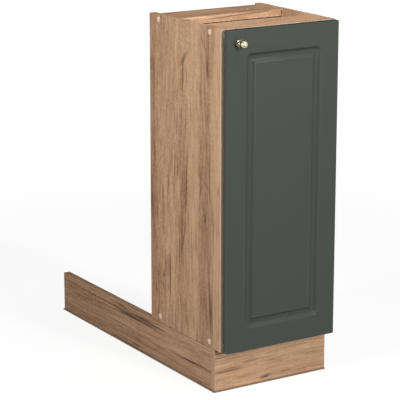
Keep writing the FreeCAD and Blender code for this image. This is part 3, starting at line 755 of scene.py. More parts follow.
# Marks of the boards that show most: centre across and along, half width, half length, lean, wobble, depth
SIDE_MARKS = (
    # The first four are broad bands over the whole board. The pale band along the front edge and the dark
    # band along the back are tone of the print and also painted light and shade. The other two are tone of
    # the print.
    (62, 440, 34, 900, 0.0, 8, 0.26),
    (108, 450, 26, 900, 0.0, 8, -0.45),
    (14, 480, 30, 900, 0.0, 8, -0.6),
    (290, 380, 34, 900, 0.0, 8, 0.3),
    (210, 222, 4.2, 92, -0.01, 3, 0.9),
    (208, 148, 2.6, 18, 0.185, 2, 0.65),
    (138, 464, 3.2, 108, -0.045, 5, 0.85),
    (151, 326, 4.4, 50, -0.23, 4, 0.75),
    (191, 455, 3.0, 92, -0.03, 4, 0.7),
    (78, 548, 4.5, 38, 0.0, 7, 0.55),
    (111, 522, 4.0, 7, 0.0, 1, 0.6),
    (61, 387, 7.0, 20, 0.0, 4, 0.5),
    (53, 465, 9.0, 19, 1.17, 5, 0.45),
    (8, 462, 6.0, 12, 0.0, 2, 0.5),
    (276, 506, 5.0, 36, 0.22, 5, 0.45),
    (239, 218, 6.0, 10, 0.0, 2, 0.75),
    (271, 174, 4.0, 34, 0.16, 4, 0.55),
    (149, 733, 11.0, 28, -0.71, 6, 0.6),
    (67, 775, 4.6, 27, 0.7, 3, 0.7),
    (53, 720, 4.4, 42, 0.0, 4, 0.75),
    (221, 781, 5.0, 9, 0.0, 2, 0.6),
    (277, 663, 3.2, 100, 0.0, 4, 0.5),
    (108, 140, 4.5, 24, 0.0, 4, 0.55),
    (288, 395, 7.0, 75, 0.0, 8, 0.4),
)
LEFT_PLINTH_MARKS = (
    (42.5, 116, 3.4, 88, -0.02, 3, 1.0),
    (89, 430, 4.0, 50, 0.14, 4, 0.8),
    (11, 362, 3.2, 42, 0.0, 4, 0.8),
    (71, 270, 2.5, 60, 0.03, 4, 0.4),
    (55, 560, 3.5, 70, -0.03, 6, 0.4),
)
FRONT_PLINTH_MARKS = (
    (44.5, 30, 3.4, 56, 0.02, 1, 1.0),
    (13, 134, 6.0, 22, 0.1, 3, 1.0),
    (16, 190, 4.5, 24, 0.1, 3, 0.5),
    (72, 215, 2.2, 60, 0.02, 3, 0.4),
)
# Painted shade in the knob's grooves, which are also rougher: reach from its foot and half width
KNOB_SHADE_BANDS = ((7.0, 5.2), (14.5, 0.9))


def oak_finishes(colours):
    """Oak coatings by name: turned with the grain, and shifted so that no two boards look alike."""
    groups = {"oak": oak_figure(), "mark": grain_mark()}
    upright = (0, 0, 0)
    crosswise = (0, -QUARTER, 0)
    lengthwise = (QUARTER, 0, 0)

    def oak(name, turn, shift, **settings):
        return oak_material(name, groups, colours, turn, shift, **settings)

    return {
        "side": oak("Oak side", upright, (0.4, 0, 0.2), marks=SIDE_MARKS),
        "upright": oak("Oak upright", upright, (1.7, 0.3, 0.9)),
        "across": oak("Oak across", crosswise, (0.3, 1.1, 0.5)),
        # Levels are painted light and shade on copies of one oak. The front rail at 1.1 and the rails' front
        # faces at 1.3 are lightened as painted light. The rear rail at 0.9 is darkened as painted shade.
        "rail_front": oak("Oak front rail", crosswise, (0.3, 1.1, 0.5), level=1.1),
        "rail_rear": oak("Oak rear rail", crosswise, (0.9, 0.4, 1.5), level=0.9),
        "rail_face": oak("Oak rail face", crosswise, (1.3, 0.8, 0.7), level=1.3),
        # The front plinth at level 1.2 is painted light. The left plinth at 0.98 is painted shade, which
        # deepens further towards its back end.
        "plinth_front": oak(
            "Oak front plinth", crosswise, (2.1, 0.2, 0.4), marks=FRONT_PLINTH_MARKS, across_axis="Z",
            along_axis="X", level=1.2, scale=(1, 1.7, 1.7), calm=0.3
        ),
        "plinth_left": oak(
            "Oak left plinth", lengthwise, (0.8, 1.9, 0.1), marks=LEFT_PLINTH_MARKS, across_axis="Z",
            along_axis="Y", level=0.98, fade=(120, 360, 0.87), scale=(1.7, 1, 1.7)
        ),
    }


def even_finishes(colours):
    """Finishes without a drawn figure by name; a single grain is the same along each axis."""
    group = fine_mottle()

    def grained(name, colour, grain, **settings):
        return even_material(name, group, colour, grain, **settings)

    def even(name, colour, grain, **settings):
        return grained(name, colour, (grain, grain, grain), **settings)

    band_grain = (60, 60, 12)
    return {
        "band": grained("Edge band", colours.band, band_grain, mottle=0.06, rough=0.45),
        "plinth_band": grained("Plinth edge band", colours.plinth_band, band_grain, mottle=0.08, rough=0.45),
        "back": grained("Back board", colours.back, (120, 120, 9), mottle=0.07, rough=0.6),
        "dowel": grained("Beech", colours.dowel, (60, 600, 600), mottle=0.1, rough=0.6),
        "core": even("Chipboard core", colours.core, 420, mottle=0.3, rough=0.85, relief=0.5, specular=0.2),
        "door": even("Door paint", colours.door, 900, mottle=0.025, rough=0.4, relief=0.06, specular=0.25),
        "door_edge": even("Dull door edge", colours.door, 900, mottle=0.025, rough=0.7, specular=0.0),
        "brass": turned_brass("Brass", colours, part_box("knob")[1].y, KNOB_SHADE_BANDS),
        "steel": even("Zinc steel", colours.steel, 500, mottle=0.06, rough=0.34, metallic=1.0, relief=0.08),
        "nickel": even("Nickel", colours.nickel, 500, mottle=0.04, rough=0.26, metallic=1.0, relief=0.05),
        "plastic": even("Dark plastic", colours.plastic, 800, mottle=0.12, rough=0.5, relief=0.15),
        "cap": even("Cap plastic", colours.cap, 600, mottle=0.04, rough=0.42, relief=0.05),
        "seal": even("Seal", colours.seal, 500, mottle=0.1, rough=0.6, relief=0.1),
        "bumper": even("Soft bumper", colours.bumper, 400, mottle=0.03, rough=0.25, relief=0.02),
    }


finishes = {}


# Pieces


def dress_faces(piece, directions, material):
    """Gives the faces that look in the given directions a second finish."""
    piece.data.materials.append(material)
    for face in piece.data.polygons:
        for direction in directions:
            if face.normal.dot(direction) > FACING:
                face.material_index = 1


def coated_board(name, node, finish_name, tools, bare, context, bare_finish="core"):
    """Coated board from its frame node's box, with eased edges, bores and bare cut edges."""
    low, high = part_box(node)
    piece = block(name, low, high)
    ease(piece, context.scene.cabinet_sizes.board_ease)
    if tools:
        combine(piece, tools)
    piece.data.materials.append(finishes[finish_name])
    dress_faces(piece, bare, finishes[bare_finish])
    return finish(piece, [node], "carcass", finishes[finish_name])


class CABINET_OT_finishes(bpy.types.Operator):
    """Make the finishes"""

    bl_idname = "cabinet.finishes"
    bl_label = "Finishes"

    def execute(self, context):
        colours = context.scene.cabinet_colours
        finishes.update(oak_finishes(colours))
        finishes.update(even_finishes(colours))
        return {"FINISHED"}


class CABINET_OT_side_boards(bpy.types.Operator):
    """Model the two side boards with their groove, shelf pin holes and screw holes"""

    bl_idname = "cabinet.side_boards"
    bl_label = "Side boards"

    pin_rows = (42, 236)
    pin_middle = 449.5
    pin_pitch = 32
    pin_steps = range(-2, 3)
    pin_radius = 2.55
    pin_depth = 10
    pin_corners = 20
    head_radius = 4.95
    head_depth = 3.05
    shank_radius = 3.45
    shank_start = 2
    shank_length = 20
    groove_front = 272.5
    groove_back = 275.7
    groove_bottom = 90
    groove_top = 830
    groove_depth = 8

    def execute(self, context):
        for node, name, outer, inward, finish_name in (
            ("side_panel_left", "side_board_left", 0, 1, "side"),
            ("side_panel_right", "side_board_right", CARCASS_WIDTH, -1, "upright"),
        ):
            inner = outer + BOARD_THICKNESS * inward
            tools = self.pin_holes(inner, inward) + self.screw_holes(outer, inward)
            tools.append(self.groove(inner, inward))
            coated_board(name, node, finish_name, tools, (-UP, BACK), context)
        return {"FINISHED"}

    def pin_holes(self, inner, inward):
        """Two rows of holes for the shelf pins."""
        length = (self.pin_depth + SPARE) * MM
        holes = []
        for y in self.pin_rows:
            for step in self.pin_steps:
                start = spot(inner - self.pin_depth * inward, y, self.pin_middle + self.pin_pitch * step)
                hole = rod("pin_hole", start, RIGHT * inward, self.pin_radius * MM, length, self.pin_corners)
                holes.append(hole)
        return holes

    def screw_holes(self, outer, inward):
        """Stepped holes for the screws through the side."""
        axis = RIGHT * inward
        holes = []
        for y, z in SCREW_PLACES:
            start = spot(outer - SPARE * inward, y, z)
            holes.append(rod("head", start, axis, self.head_radius * MM, (self.head_depth + SPARE) * MM))
            start = spot(outer + self.shank_start * inward, y, z)
            holes.append(rod("shank", start, axis, self.shank_radius * MM, self.shank_length * MM))
        return holes

    def groove(self, inner, inward):
        """Groove that takes the back board."""
        start = spot(inner - self.groove_depth * inward, self.groove_front, self.groove_bottom)
        end = spot(inner + SPARE * inward, self.groove_back, self.groove_top)
        return block("groove", *span(start, end))


class CABINET_OT_level_boards(bpy.types.Operator):
    """Model the bottom board, the two top rails and the shelf"""

    bl_idname = "cabinet.level_boards"
    bl_label = "Level boards"

    # Node, piece and how far back its worktop holes are
    rails = (("top_rail_front", "rail_front", 44), ("top_rail_rear", "rail_rear", 228.5))
    hole_columns = (80, 220)
    hole_bottom = 790
    hole_length = 36
    hole_radius = 2.5
    hole_corners = 24

    def execute(self, context):
        coated_board("bottom_board", "bottom_panel", "across", [], (BACK,), context)
        for node, name, y in self.rails:
            tools = []
            for x in self.hole_columns:
                start = spot(x, y, self.hole_bottom)
                tools.append(
                    rod("hole", start, UP, self.hole_radius * MM, self.hole_length * MM, self.hole_corners)
                )
            # The rails' front faces take the lightened oak copy, which is painted light.
            coated_board(name, node, name, tools, (-BACK,), context, "rail_face")
        coated_board("shelf_board", "shelf", "across", [], (BACK, RIGHT, -RIGHT), context)
        return {"FINISHED"}


class CABINET_OT_edge_bands(bpy.types.Operator):
    """Model the edge bands along the front edges"""

    bl_idname = "cabinet.edge_bands"
    bl_label = "Edge bands"

    parts = ("left", "right", "rail", "bottom", "shelf", "plinth")
    round_steps = 3

    def execute(self, context):
        width = context.scene.cabinet_sizes.band_round
        for part in self.parts:
            node = "edge_band_" + part
            low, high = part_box(node)
            outer = low.x if part == "plinth" else low.y
            piece = block("band_" + part, low, high)

            def on_show(edge):
                places = [vert.co.x if part == "plinth" else vert.co.y for vert in edge.verts]
                return all(abs(place - outer) < NEAR for place in places)

            ease(piece, width, self.round_steps, on_show)
            if part == "plinth":
                piece.data.materials.append(finishes["plinth_band"])
                dress_faces(piece, (-BACK,), finishes["band"])
            finish(piece, [node], "carcass", finishes["band"])
        return {"FINISHED"}


class CABINET_OT_door(bpy.types.Operator):
    """Model the door with its framing groove, rounded edges and hinge bores"""

    bl_idname = "cabinet.door"
    bl_label = "Door"

    # Millimetres out from the groove's middle line and down from the door's face
    half_profile = (
        (0.0, 5.4), (3.6, 5.3), (5.2, 4.95), (6.4, 4.3), (7.6, 3.25), (8.8, 2.05),
        (9.9, 1.05), (10.9, 0.4), (11.9, 0.1), (13.0, 0.0),
    )
    profile_room = 20
    corner_steps = 8
    flatness = 0.99
    front_steps = 4
    back_steps = 3
    screw_radius = 2.2
    screw_length = 40
    screw_corners = 24
    cup_x = 273
    cup_corners = 64

    def execute(self, context):
        sizes = context.scene.cabinet_sizes
        low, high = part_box("door_panel")
        piece = block("door_leaf", low, high)

        def at_front(edge):
            return all(vert.co.y < low.y + NEAR for vert in edge.verts)

        def at_back(edge):
            return all(vert.co.y > high.y - NEAR for vert in edge.verts)

        ease(piece, sizes.door_front_round, self.front_steps, at_front)
        ease(piece, sizes.door_back_round, self.back_steps, at_back)
        inset = Vector((sizes.groove_inset_side, 0, sizes.groove_inset_end))
        self.cut_open(piece, low.y)
        self.sweep_groove(piece, low + inset, high - inset, low.y)
        self.bore(piece, high.y, sizes)
        piece.data.materials.append(finishes["door"])
        dress_faces(piece, (UP,), finishes["door_edge"])
        finish(piece, ["door_panel"], "door", finishes["door"])
        return {"FINISHED"}

    def cut_open(self, piece, front):
        """Takes away the flat front face."""
        edit(piece)

        def is_front(face):
            return face.normal.y < -self.flatness and face.calc_center_median().y < front + NEAR

        pick_faces(piece, is_front)
        bpy.ops.mesh.delete(type="ONLY_FACE")
        leave()

    def sweep_groove(self, piece, low, high, front):
        """Draws the groove both ways from its middle line, turns its corners and closes the front."""
        depth = self.half_profile[0][1] * MM
        middle = (low + high) / 2
        middle.y = front + depth
        edit(piece)
        bpy.ops.mesh.primitive_plane_add(size=1, location=middle, rotation=(QUARTER, 0, 0))
        bpy.ops.transform.resize(value=(high.x - low.x, 1, high.z - low.z), center_override=middle)
        bpy.ops.mesh.select_mode(type="FACE")
        steps = list(zip(self.half_profile, self.half_profile[1:]))
        for (reach, sink), (next_reach, next_sink) in steps:
            bpy.ops.mesh.inset(thickness=(next_reach - reach) * MM, depth=(sink - next_sink) * MM)
        corners = (
            Vector((low.x, middle.y, low.z)), Vector((high.x, middle.y, low.z)),
            Vector((high.x, middle.y, high.z)), Vector((low.x, middle.y, high.z)),
        )
        outwards = (-UP, RIGHT, UP, -RIGHT)
        for index, outward in enumerate(outwards):
            start = corners[index]
            end = corners[(index + 1) % len(corners)]
            bpy.ops.mesh.select_mode(type="EDGE")

            def is_side(edge):
                ends = [vert.co for vert in edge.verts]
                both = (ends[0] - start).length < NEAR and (ends[1] - end).length < NEAR
                return both or ((ends[1] - start).length < NEAR and (ends[0] - end).length < NEAR)

            pick_edges(piece, is_side)
            for (reach, sink), (next_reach, next_sink) in steps:
                move = outward * (next_reach - reach) * MM - BACK * (sink - next_sink) * MM
                bpy.ops.mesh.extrude_region_move(TRANSFORM_OT_translate={"value": move})
            side = (start - end).normalized()

            def is_end(edge):
                for vert in edge.verts:
                    offset = vert.co - end
                    if abs(offset.dot(side)) > NEAR or offset.dot(outward) < -NEAR:
                        return False
                    if offset.dot(outward) > self.profile_room * MM:
                        return False
                return True

            pick_edges(piece, is_end)
            bpy.ops.mesh.spin(steps=self.corner_steps, angle=QUARTER, center=end, axis=BACK)
        bpy.ops.mesh.select_all(action="SELECT")
        bpy.ops.mesh.remove_doubles(threshold=NEAR)
        bpy.ops.mesh.select_all(action="DESELECT")
        pick_edges(piece, lambda edge: edge.is_boundary)
        bpy.ops.mesh.fill(use_beauty=True)
        bpy.ops.mesh.select_all(action="SELECT")
        bpy.ops.mesh.normals_make_consistent(inside=False)
        leave()

    def bore(self, piece, back, sizes):
        """Bores the back for the hinge cups and the knob's screw."""
        start = middle_of("knob")
        tools = [
            rod("screw_hole", start, BACK, self.screw_radius * MM, self.screw_length * MM, self.screw_corners)
        ]
        for level in ("upper", "lower"):
            start = middle_of("hinge_pin_" + level)
            start.x = spot(self.cup_x, 0, 0).x
            start.y = back - sizes.cup_depth
            length = sizes.cup_depth + SPARE * MM
            tools.append(rod("cup_bore", start, BACK, sizes.cup_radius, length, self.cup_corners))
        combine(piece, tools)


class CABINET_OT_knob(bpy.types.Operator):
    """Turn the brass knob"""

    bl_idname = "cabinet.knob"
    bl_label = "Knob"

    foot_rings = (
        (7.1, 0), (7.5, 0.3), (7.5, 1.5), (7.25, 1.9), (6.5, 2.2), (5.3, 2.75), (4.4, 3.5), (3.9, 4.4),
        (3.8, 5.2), (3.8, 8.4), (4.0, 9.3), (4.6, 10.2), (5.8, 11.2), (7.3, 11.9), (8.5, 12.2), (9.3, 12.45),
        (9.7, 13.1), (9.3, 13.75), (8.6, 14.0), (7.3, 14.1), (7.0, 14.3), (7.0, 14.8), (7.3, 15.1),
        (8.0, 15.8), (8.4, 16.8), (8.6, 18.2), (8.62, 18.88),
    )
    dome_radius = 8.62
    dome_middle = 18.88
    dome_steps = 9
    tip_radius = 0.2

    def execute(self, context):
        low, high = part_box("knob")
        base = Vector(((low.x + high.x) / 2, high.y, (low.z + high.z) / 2))
        rings = list(self.foot_rings)
        first = math.asin((rings[-1][1] - self.dome_middle) / self.dome_radius)
        for step in range(1, self.dome_steps + 1):
            angle = first + (QUARTER - first) * step / self.dome_steps
            radius = max(self.dome_radius * math.cos(angle), self.tip_radius)
            rings.append((radius, self.dome_middle + self.dome_radius * math.sin(angle)))
        corners = context.scene.cabinet_sizes.turning_corners
        piece = turned("knob_brass", base, -BACK, rings, corners)
        finish(piece, ["knob"], "door", finishes["brass"])
        return {"FINISHED"}


class CABINET_OT_caps(bpy.types.Operator):
    """Turn one screw cap and copy it to the four screws of the left side"""

    bl_idname = "cabinet.caps"
    bl_label = "Screw caps"

    rings = (
        (6.35, 0), (6.5, 0.1), (6.45, 0.2), (6.1, 0.4), (5.5, 0.62), (4.7, 0.82), (3.7, 0.98), (2.5, 1.1),
        (1.3, 1.18), (0.3, 1.2),
    )

    def execute(self, context):
        corners = context.scene.cabinet_sizes.turning_corners
        places = [spot(0, y, z) for y, z in SCREW_PLACES]
        first = turned("cap", places[0], -RIGHT, self.rings, corners)
        caps = [first]
        for place in places[1:]:
            caps.append(copy_moved(first, "cap", place - places[0]))
        piece = join("caps", caps)
        finish(piece, ["screw_caps"], "carcass", finishes["cap"])
        return {"FINISHED"}


class CABINET_OT_plinth(bpy.types.Operator):
    """Model the plinth boards and the soft strips under them"""

    bl_idname = "cabinet.plinth"
    bl_label = "Plinth"

    # Side, bare edges of its board, and the corners of the groove that takes the strip
    boards = (
        ("front", (RIGHT, -UP), (-10, 23.4, -1), (310, 26.6, 11.1)),
        ("left", (BACK, -UP), (4.4, 20, -1), (7.6, 740, 11.1)),
    )
    # Side and the corners of the strip's tongue
    strips = (
        ("front", (-1, 23.5, 2.5), (298, 26.5, 11)),
        ("left", (4.5, 33.1, 2.5), (7.5, 731, 11)),
    )
    strip_height = 3
    strip_round = 0.8
    round_steps = 3

    def execute(self, context):
        for side, bare, low, high in self.boards:
            groove = block("groove", spot(*low), spot(*high))
            node = "plinth_" + side
            coated_board("plinth_board_" + side, node, node, [groove], bare, context)
        for side, tongue_low, tongue_high in self.strips:
            node = "plinth_seal_" + side
            low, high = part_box(node)
            high.z = low.z + self.strip_height * MM
            piece = block("seal_" + side, low, high)

            def on_top(edge):
                return all(vert.co.z > high.z - NEAR for vert in edge.verts)

            ease(piece, self.strip_round * MM, self.round_steps, on_top)
            combine(piece, [block("tongue", spot(*tongue_low), spot(*tongue_high))], "UNION")
            finish(piece, [node], "carcass", finishes["seal"])
        return {"FINISHED"}


class CABINET_OT_back_board(bpy.types.Operator):
    """Model the thin back board, printed inside and bare hardboard outside"""

    bl_idname = "cabinet.back_board"
    bl_label = "Back board"

    def execute(self, context):
        low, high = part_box("back_panel")
        piece = block("back_sheet", low, high)
        ease(piece, context.scene.cabinet_sizes.board_ease)
        piece.data.materials.append(finishes["upright"])
        piece.data.materials.append(finishes["back"])
        for face in piece.data.polygons:
            if face.normal.y > -FACING:
                face.material_index = 1
        finish(piece, ["back_panel"], "carcass", finishes["back"])
        return {"FINISHED"}


class CABINET_OT_legs(bpy.types.Operator):
    """Model one leg, its socket and its foot, and copy them to the four places under the bottom board"""

    bl_idname = "cabinet.legs"
    bl_label = "Legs"

    places = ("front_left", "front_right", "rear_left", "rear_right")
    tube_rings = ((16.0, 0), (17.0, 1.0), (17.0, 4.0), (16.3, 4.7), (16.3, 6.3), (17.0, 7.0), (17.0, 75.7))
    tube_bore = 9.06
    tube_bore_length = 55
    foot_rings = (
        (21.8, 0), (22.7, 0.3), (23.0, 1.0), (23.0, 4.2), (22.6, 5.3), (21.6, 5.9), (20.2, 6.0), (19.2, 5.4),
        (17.6, 5.4), (16.8, 6.0), (0.5, 6.0),
    )
    grip_start = 5
    grip_radius = 16
    grip_length = 7
    grip_corners = 6
    grip_ease = 0.8
    stud_radius = 9.0
    stud_core = 8.0
    stud_tip = 7.4
    stud_start = 11
    thread_start = 12.5
    thread_pitch = 3.0
    crest_start = 0.35
    crest_end = 0.65
    plate_thickness = 4
    plate_round = 8
    plate_steps = 6
    collar_rings = ((21.2, 0), (22.0, 0.8), (22.0, 14.6), (22.8, 15.4), (23.6, 16.2))
    socket_bore = 17.05
    socket_bore_length = 17
    rib_thickness = 2.4
    rib_drop = 12.0
    rib_reach = 28.5
    rib_toe = 28
    rib_toe_cut = 6.4
    hole_offsets = (-22, 22)
    hole_radius = 1.8
    hole_length = 8
    hole_corners = 20

    def execute(self, context):
        first = self.places[0]
        home = middle_of("leg_tube_" + first)
        sizes = context.scene.cabinet_sizes
        models = (
            ("leg_socket_", "socket_", self.socket(first, home, sizes)),
            ("leg_tube_", "tube_", self.tube(first, home, sizes)),
            ("foot_", "foot_pad_", self.foot(first, home, sizes)),
        )
        for place in self.places:
            shift = middle_of("leg_tube_" + place) - home
            for stem, piece_stem, model in models:
                body = "foot_" + place if stem == "foot_" else "carcass"
                piece = copy_moved(model, piece_stem + place, shift)
                finish(piece, [stem + place], body, finishes["plastic"])
        for stem, piece_stem, model in models:
            bpy.data.objects.remove(model, do_unlink=True)
        return {"FINISHED"}

    def socket(self, place, home, sizes):
        """Plate with round corners, collar, four ribs and screw holes."""
        low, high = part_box("leg_socket_" + place)
        base = Vector((home.x, home.y, high.z - self.plate_thickness * MM))
        foot = Vector((home.x, home.y, low.z))
        plate = block("socket", (low.x, low.y, base.z), high)

        def is_upright(edge):
            return abs(edge.verts[0].co.z - edge.verts[1].co.z) > NEAR

        ease(plate, self.plate_round * MM, self.plate_steps, is_upright)
        ease(plate, sizes.moulding_ease)
        parts = [self.rib(base, axis) for axis in (RIGHT, BACK)]
        parts.append(turned("collar", foot, UP, self.collar_rings, sizes.turning_corners))
        for part in parts:
            combine(plate, [part], "UNION")
        start = foot - UP * SPARE * MM
        length = self.socket_bore_length * MM
        holes = [rod("bore", start, UP, self.socket_bore * MM, length, sizes.turning_corners)]
        for x in self.hole_offsets:
            for y in self.hole_offsets:
                start = base + Vector((x, y, -SPARE)) * MM
                length = self.hole_length * MM
                holes.append(rod("hole", start, UP, self.hole_radius * MM, length, self.hole_corners))
        return combine(plate, holes)

    def rib(self, base, axis):
        """Rib under the plate along an axis, with its lower ends cut off."""
        reach = axis * self.rib_reach * MM + axis.cross(UP) * self.rib_thickness / 2 * MM
        foot = base - UP * self.rib_drop * MM
        rib = block("rib", *span(foot - reach, base + reach + UP * SPARE * MM))

        def is_toe(edge):
            ends = [vert.co for vert in edge.verts]
            toe = self.rib_toe * MM
            return all(end.z < foot.z + NEAR and abs((end - base).dot(axis)) > toe for end in ends)

        return ease(rib, self.rib_toe_cut * MM, 1, is_toe)

    def tube(self, place, home, sizes):
        """Round leg with a grooved rim and a bore for the foot's stud."""
        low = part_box("leg_tube_" + place)[0]
        base = Vector((home.x, home.y, low.z))
        leg = turned("tube", base, UP, self.tube_rings, sizes.turning_corners)
        start = base - UP * SPARE * MM
        length = self.tube_bore_length * MM
        return combine(leg, [rod("bore", start, UP, self.tube_bore * MM, length, sizes.turning_corners)])

    def foot(self, place, home, sizes):
        """Dished foot with a six-sided grip and a threaded stud."""
        low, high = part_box("foot_" + place)
        base = Vector((home.x, home.y, low.z))
        foot = turned("foot", base, UP, self.foot_rings, sizes.turning_corners)
        start = base + UP * self.grip_start * MM
        grip = rod("grip", start, UP, self.grip_radius * MM, self.grip_length * MM, self.grip_corners)
        ease(grip, self.grip_ease * MM)
        combine(foot, [grip], "UNION")
        top = (high.z - low.z) / MM
        rings = [(self.stud_core, self.stud_start)]
        reach = self.thread_start
        while reach + self.thread_pitch < top:
            rings.append((self.stud_core, reach))
            for share in (self.crest_start, self.crest_end):
                rings.append((self.stud_radius, reach + share * self.thread_pitch))
            reach += self.thread_pitch
        rings += [(self.stud_core, reach), (self.stud_tip, top)]
        stud = turned("stud", base, UP, rings, sizes.turning_corners)
        return combine(foot, [stud], "UNION")


class CABINET_OT_screws(bpy.types.Operator):
    """Turn one screw of each kind, cut its drive and copy it to the places of its frame node"""

    bl_idname = "cabinet.screws"
    bl_label = "Screws"

    # Node, piece, body, shank radius, head height and which way along its axis it points
    kinds = (
        ("leg_screws", "screws_under_legs", "carcass", 1.75, 1.8, 1),
        ("plinth_clip_screws", "screws_in_clips", "carcass", 1.75, 1.8, -1),
        ("plinth_bracket_screws", "screws_in_bracket", "carcass", 1.75, 1.8, -1),
        ("hinge_cup_screws", "screws_in_cups", "door", 1.75, 1.2, -1),
        ("hinge_plate_screws", "screws_in_plates", "carcass", 2.45, 1.5, 1),
        ("hinge_lock_screws", "screws_in_arms", "carcass", 2.5, 2.0, 1),
        ("knob_screw", "screw_in_knob", "door", 1.9, 2.3, -1),
    )
    thread_pitch = 1.5
    thread_core = 0.76
    root_end = 0.4
    crest_start = 0.7
    thread_tip = 0.2
    head_shape = ((0.2, 0.0), (0.55, 0.05), (0.82, 0.22), (0.95, 0.5), (1.0, 0.8), (1.0, 1.0))
    cross_reach = 0.56
    cross_width = 0.13
    cross_depth = 0.6
    connector_head = ((0.94, 0), (1.0, 0.3), (1.0, 3.0))
    connector_shank = ((3.4, 3.6), (3.4, 16.0))
    connector_thread = 2.4
    connector_thread_start = 16.5
    socket_radius = 2.3
    socket_length = 3.2
    socket_corners = 6
    corners = 24

    def execute(self, context):
        for node, name, body, shank, head_height, way in self.kinds:
            self.copies(node, name, body, way, lambda *place: self.round_head(*place, shank, head_height))
        self.copies("carcass_screws", "screws_in_carcass", "carcass", 0, self.connector)
        return {"FINISHED"}

    def copies(self, node, name, body, way, model):
        """Models a screw once for each direction and copies it to the node's solids."""
        patterns = {}
        screws = []
        for low, high in solids(node):
            size = high - low
            longest = max(range(3), key=lambda axis: size[axis])
            middle = (low + high) / 2
            sign = way if way else (1 if middle.x < 0 else -1)
            axis = (RIGHT, BACK, UP)[longest] * sign
            start = middle - axis * size[longest] / 2
            key = (longest, sign)
            if key in patterns:
                pattern, home = patterns[key]
                screws.append(copy_moved(pattern, "screw", start - home))
            else:
                radius = min(size) / 2 / MM
                patterns[key] = (model(start, axis, radius, size[longest] / MM), start)
                screws.append(patterns[key][0])
        finish(join(name, screws), [node], body, finishes["steel"])

    def thread(self, radius, start, end):
        """Rings of a thread with its tip."""
        rings = [(radius, start)]
        reach = start + self.thread_pitch
        core = radius * self.thread_core
        while reach + self.thread_pitch < end - radius:
            rings += [(core, reach), (core, reach + self.root_end * self.thread_pitch)]
            rings.append((radius, reach + self.crest_start * self.thread_pitch))
            reach += self.thread_pitch
        return rings + [(core, end - radius), (core * self.thread_tip, end)]

    def round_head(self, start, axis, head, length, shank, head_height):
        """Screw with a rounded head and a cross cut in it."""
        rings = [(head * across, head_height * down) for across, down in self.head_shape]
        screw = turned("screw", start, axis, rings + self.thread(shank, head_height, length), self.corners)
        first = Vector((axis.y, axis.z, axis.x))
        second = axis.cross(first)
        for along, across in ((first, second), (second, first)):
            reach = (along * self.cross_reach + across * self.cross_width) * head * MM
            bottom = start + axis * head_height * self.cross_depth * MM
            combine(screw, [block("cut", *span(start - axis * SPARE * MM - reach, bottom + reach))])
        return screw

    def connector(self, start, axis, head, length):
        """Flush connecting screw with a six-sided socket."""
        rings = [(head * across, reach) for across, reach in self.connector_head]
        rings += self.connector_shank
        rings += self.thread(self.connector_thread, self.connector_thread_start, length)
        screw = turned("screw", start, axis, rings, self.corners)
        start = start - axis * SPARE * MM
        socket = rod(
            "socket", start, axis, self.socket_radius * MM, self.socket_length * MM, self.socket_corners
        )
        return combine(screw, [socket])


class CABINET_OT_hinges(bpy.types.Operator):
    """Model one concealed hinge and copy it to the lower place"""

    bl_idname = "cabinet.hinges"
    bl_label = "Hinges"

    cup_rings = (
        (0.5, 0), (16.0, 0), (17.1, 0.35), (17.5, 1.2), (17.5, 13.2), (18.6, 13.2), (18.6, 13.8),
        (18.3, 14.1), (17.9, 14.2), (17.2, 14.2), (16.8, 13.8), (16.8, 1.7), (16.3, 1.0), (15.6, 0.7),
        (0.5, 0.7),
    )
    flange_radius = 18.6
    pin_rings = ((1.1, 0), (1.5, 0.4), (1.5, 15.6), (1.1, 16))
    pin_half = 8
    pin_corners = 24
    bar_depth = 13
    bar_gap = 0.06
    bar_round = 5.5
    bar_steps = 6
    room_radius = 17.1
    room_length = 20
    ear_left = 3.5
    ear_right = 2.9
    ear_floor = 0.4
    ear_back = 4
    ear_inner = 5.4
    ear_outer = 7.4

    def execute(self, context):
        sizes = context.scene.cabinet_sizes
        home = middle_of("hinge_pin_upper")
        cup = self.cup(home, sizes)
        pin = turned("pin", home - UP * self.pin_half * MM, UP, self.pin_rings, self.pin_corners)
        arm = eased_node("hinge_arm_upper", "arm", sizes.pressing_ease)
        plate = eased_node("hinge_plate_upper", "plate", sizes.pressing_ease)
        models = (
            ("hinge_cup_", "cup_", "door", cup),
            ("hinge_pin_", "pin_", "door", pin),
            ("hinge_arm_", "arm_", "carcass", arm),
            ("hinge_plate_", "plate_", "carcass", plate),
        )
        for level in ("upper", "lower"):
            shift = middle_of("hinge_pin_" + level) - home
            for stem, piece_stem, body, model in models:
                piece = copy_moved(model, piece_stem + level, shift)
                finish(piece, [stem + level], body, finishes["nickel"])
        for stem, piece_stem, body, model in models:
            bpy.data.objects.remove(model, do_unlink=True)
        return {"FINISHED"}

    def cup(self, home, sizes):
        """Deep drawn cup with its screw flange and the two ears that hold the pin."""
        low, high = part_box("hinge_cup_upper")
        base = Vector((high.x - self.flange_radius * MM, low.y, home.z))
        cup = turned("cup", base, BACK, self.cup_rings, sizes.turning_corners)
        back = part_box("door_panel")[1].y
        end = Vector((low.x + self.bar_depth * MM, high.y - self.bar_gap * MM, high.z))
        bar = block("bar", (low.x, back, low.z), end)

        def goes_back(edge):
            return abs(edge.verts[0].co.y - edge.verts[1].co.y) > NEAR

        ease(bar, self.bar_round * MM, self.bar_steps, goes_back)
        start = base - BACK * SPARE * MM
        length = self.room_length * MM
        combine(bar, [rod("room", start, BACK, self.room_radius * MM, length, sizes.turning_corners)])
        combine(cup, [bar], "UNION")
        for side in (-1, 1):
            first = home + Vector((-self.ear_left, 0, side * self.ear_inner)) * MM
            first.y = base.y + self.ear_floor * MM
            second = home + Vector((self.ear_right, self.ear_back, side * self.ear_outer)) * MM
            combine(cup, [block("ear", *span(first, second))], "UNION")
        return cup


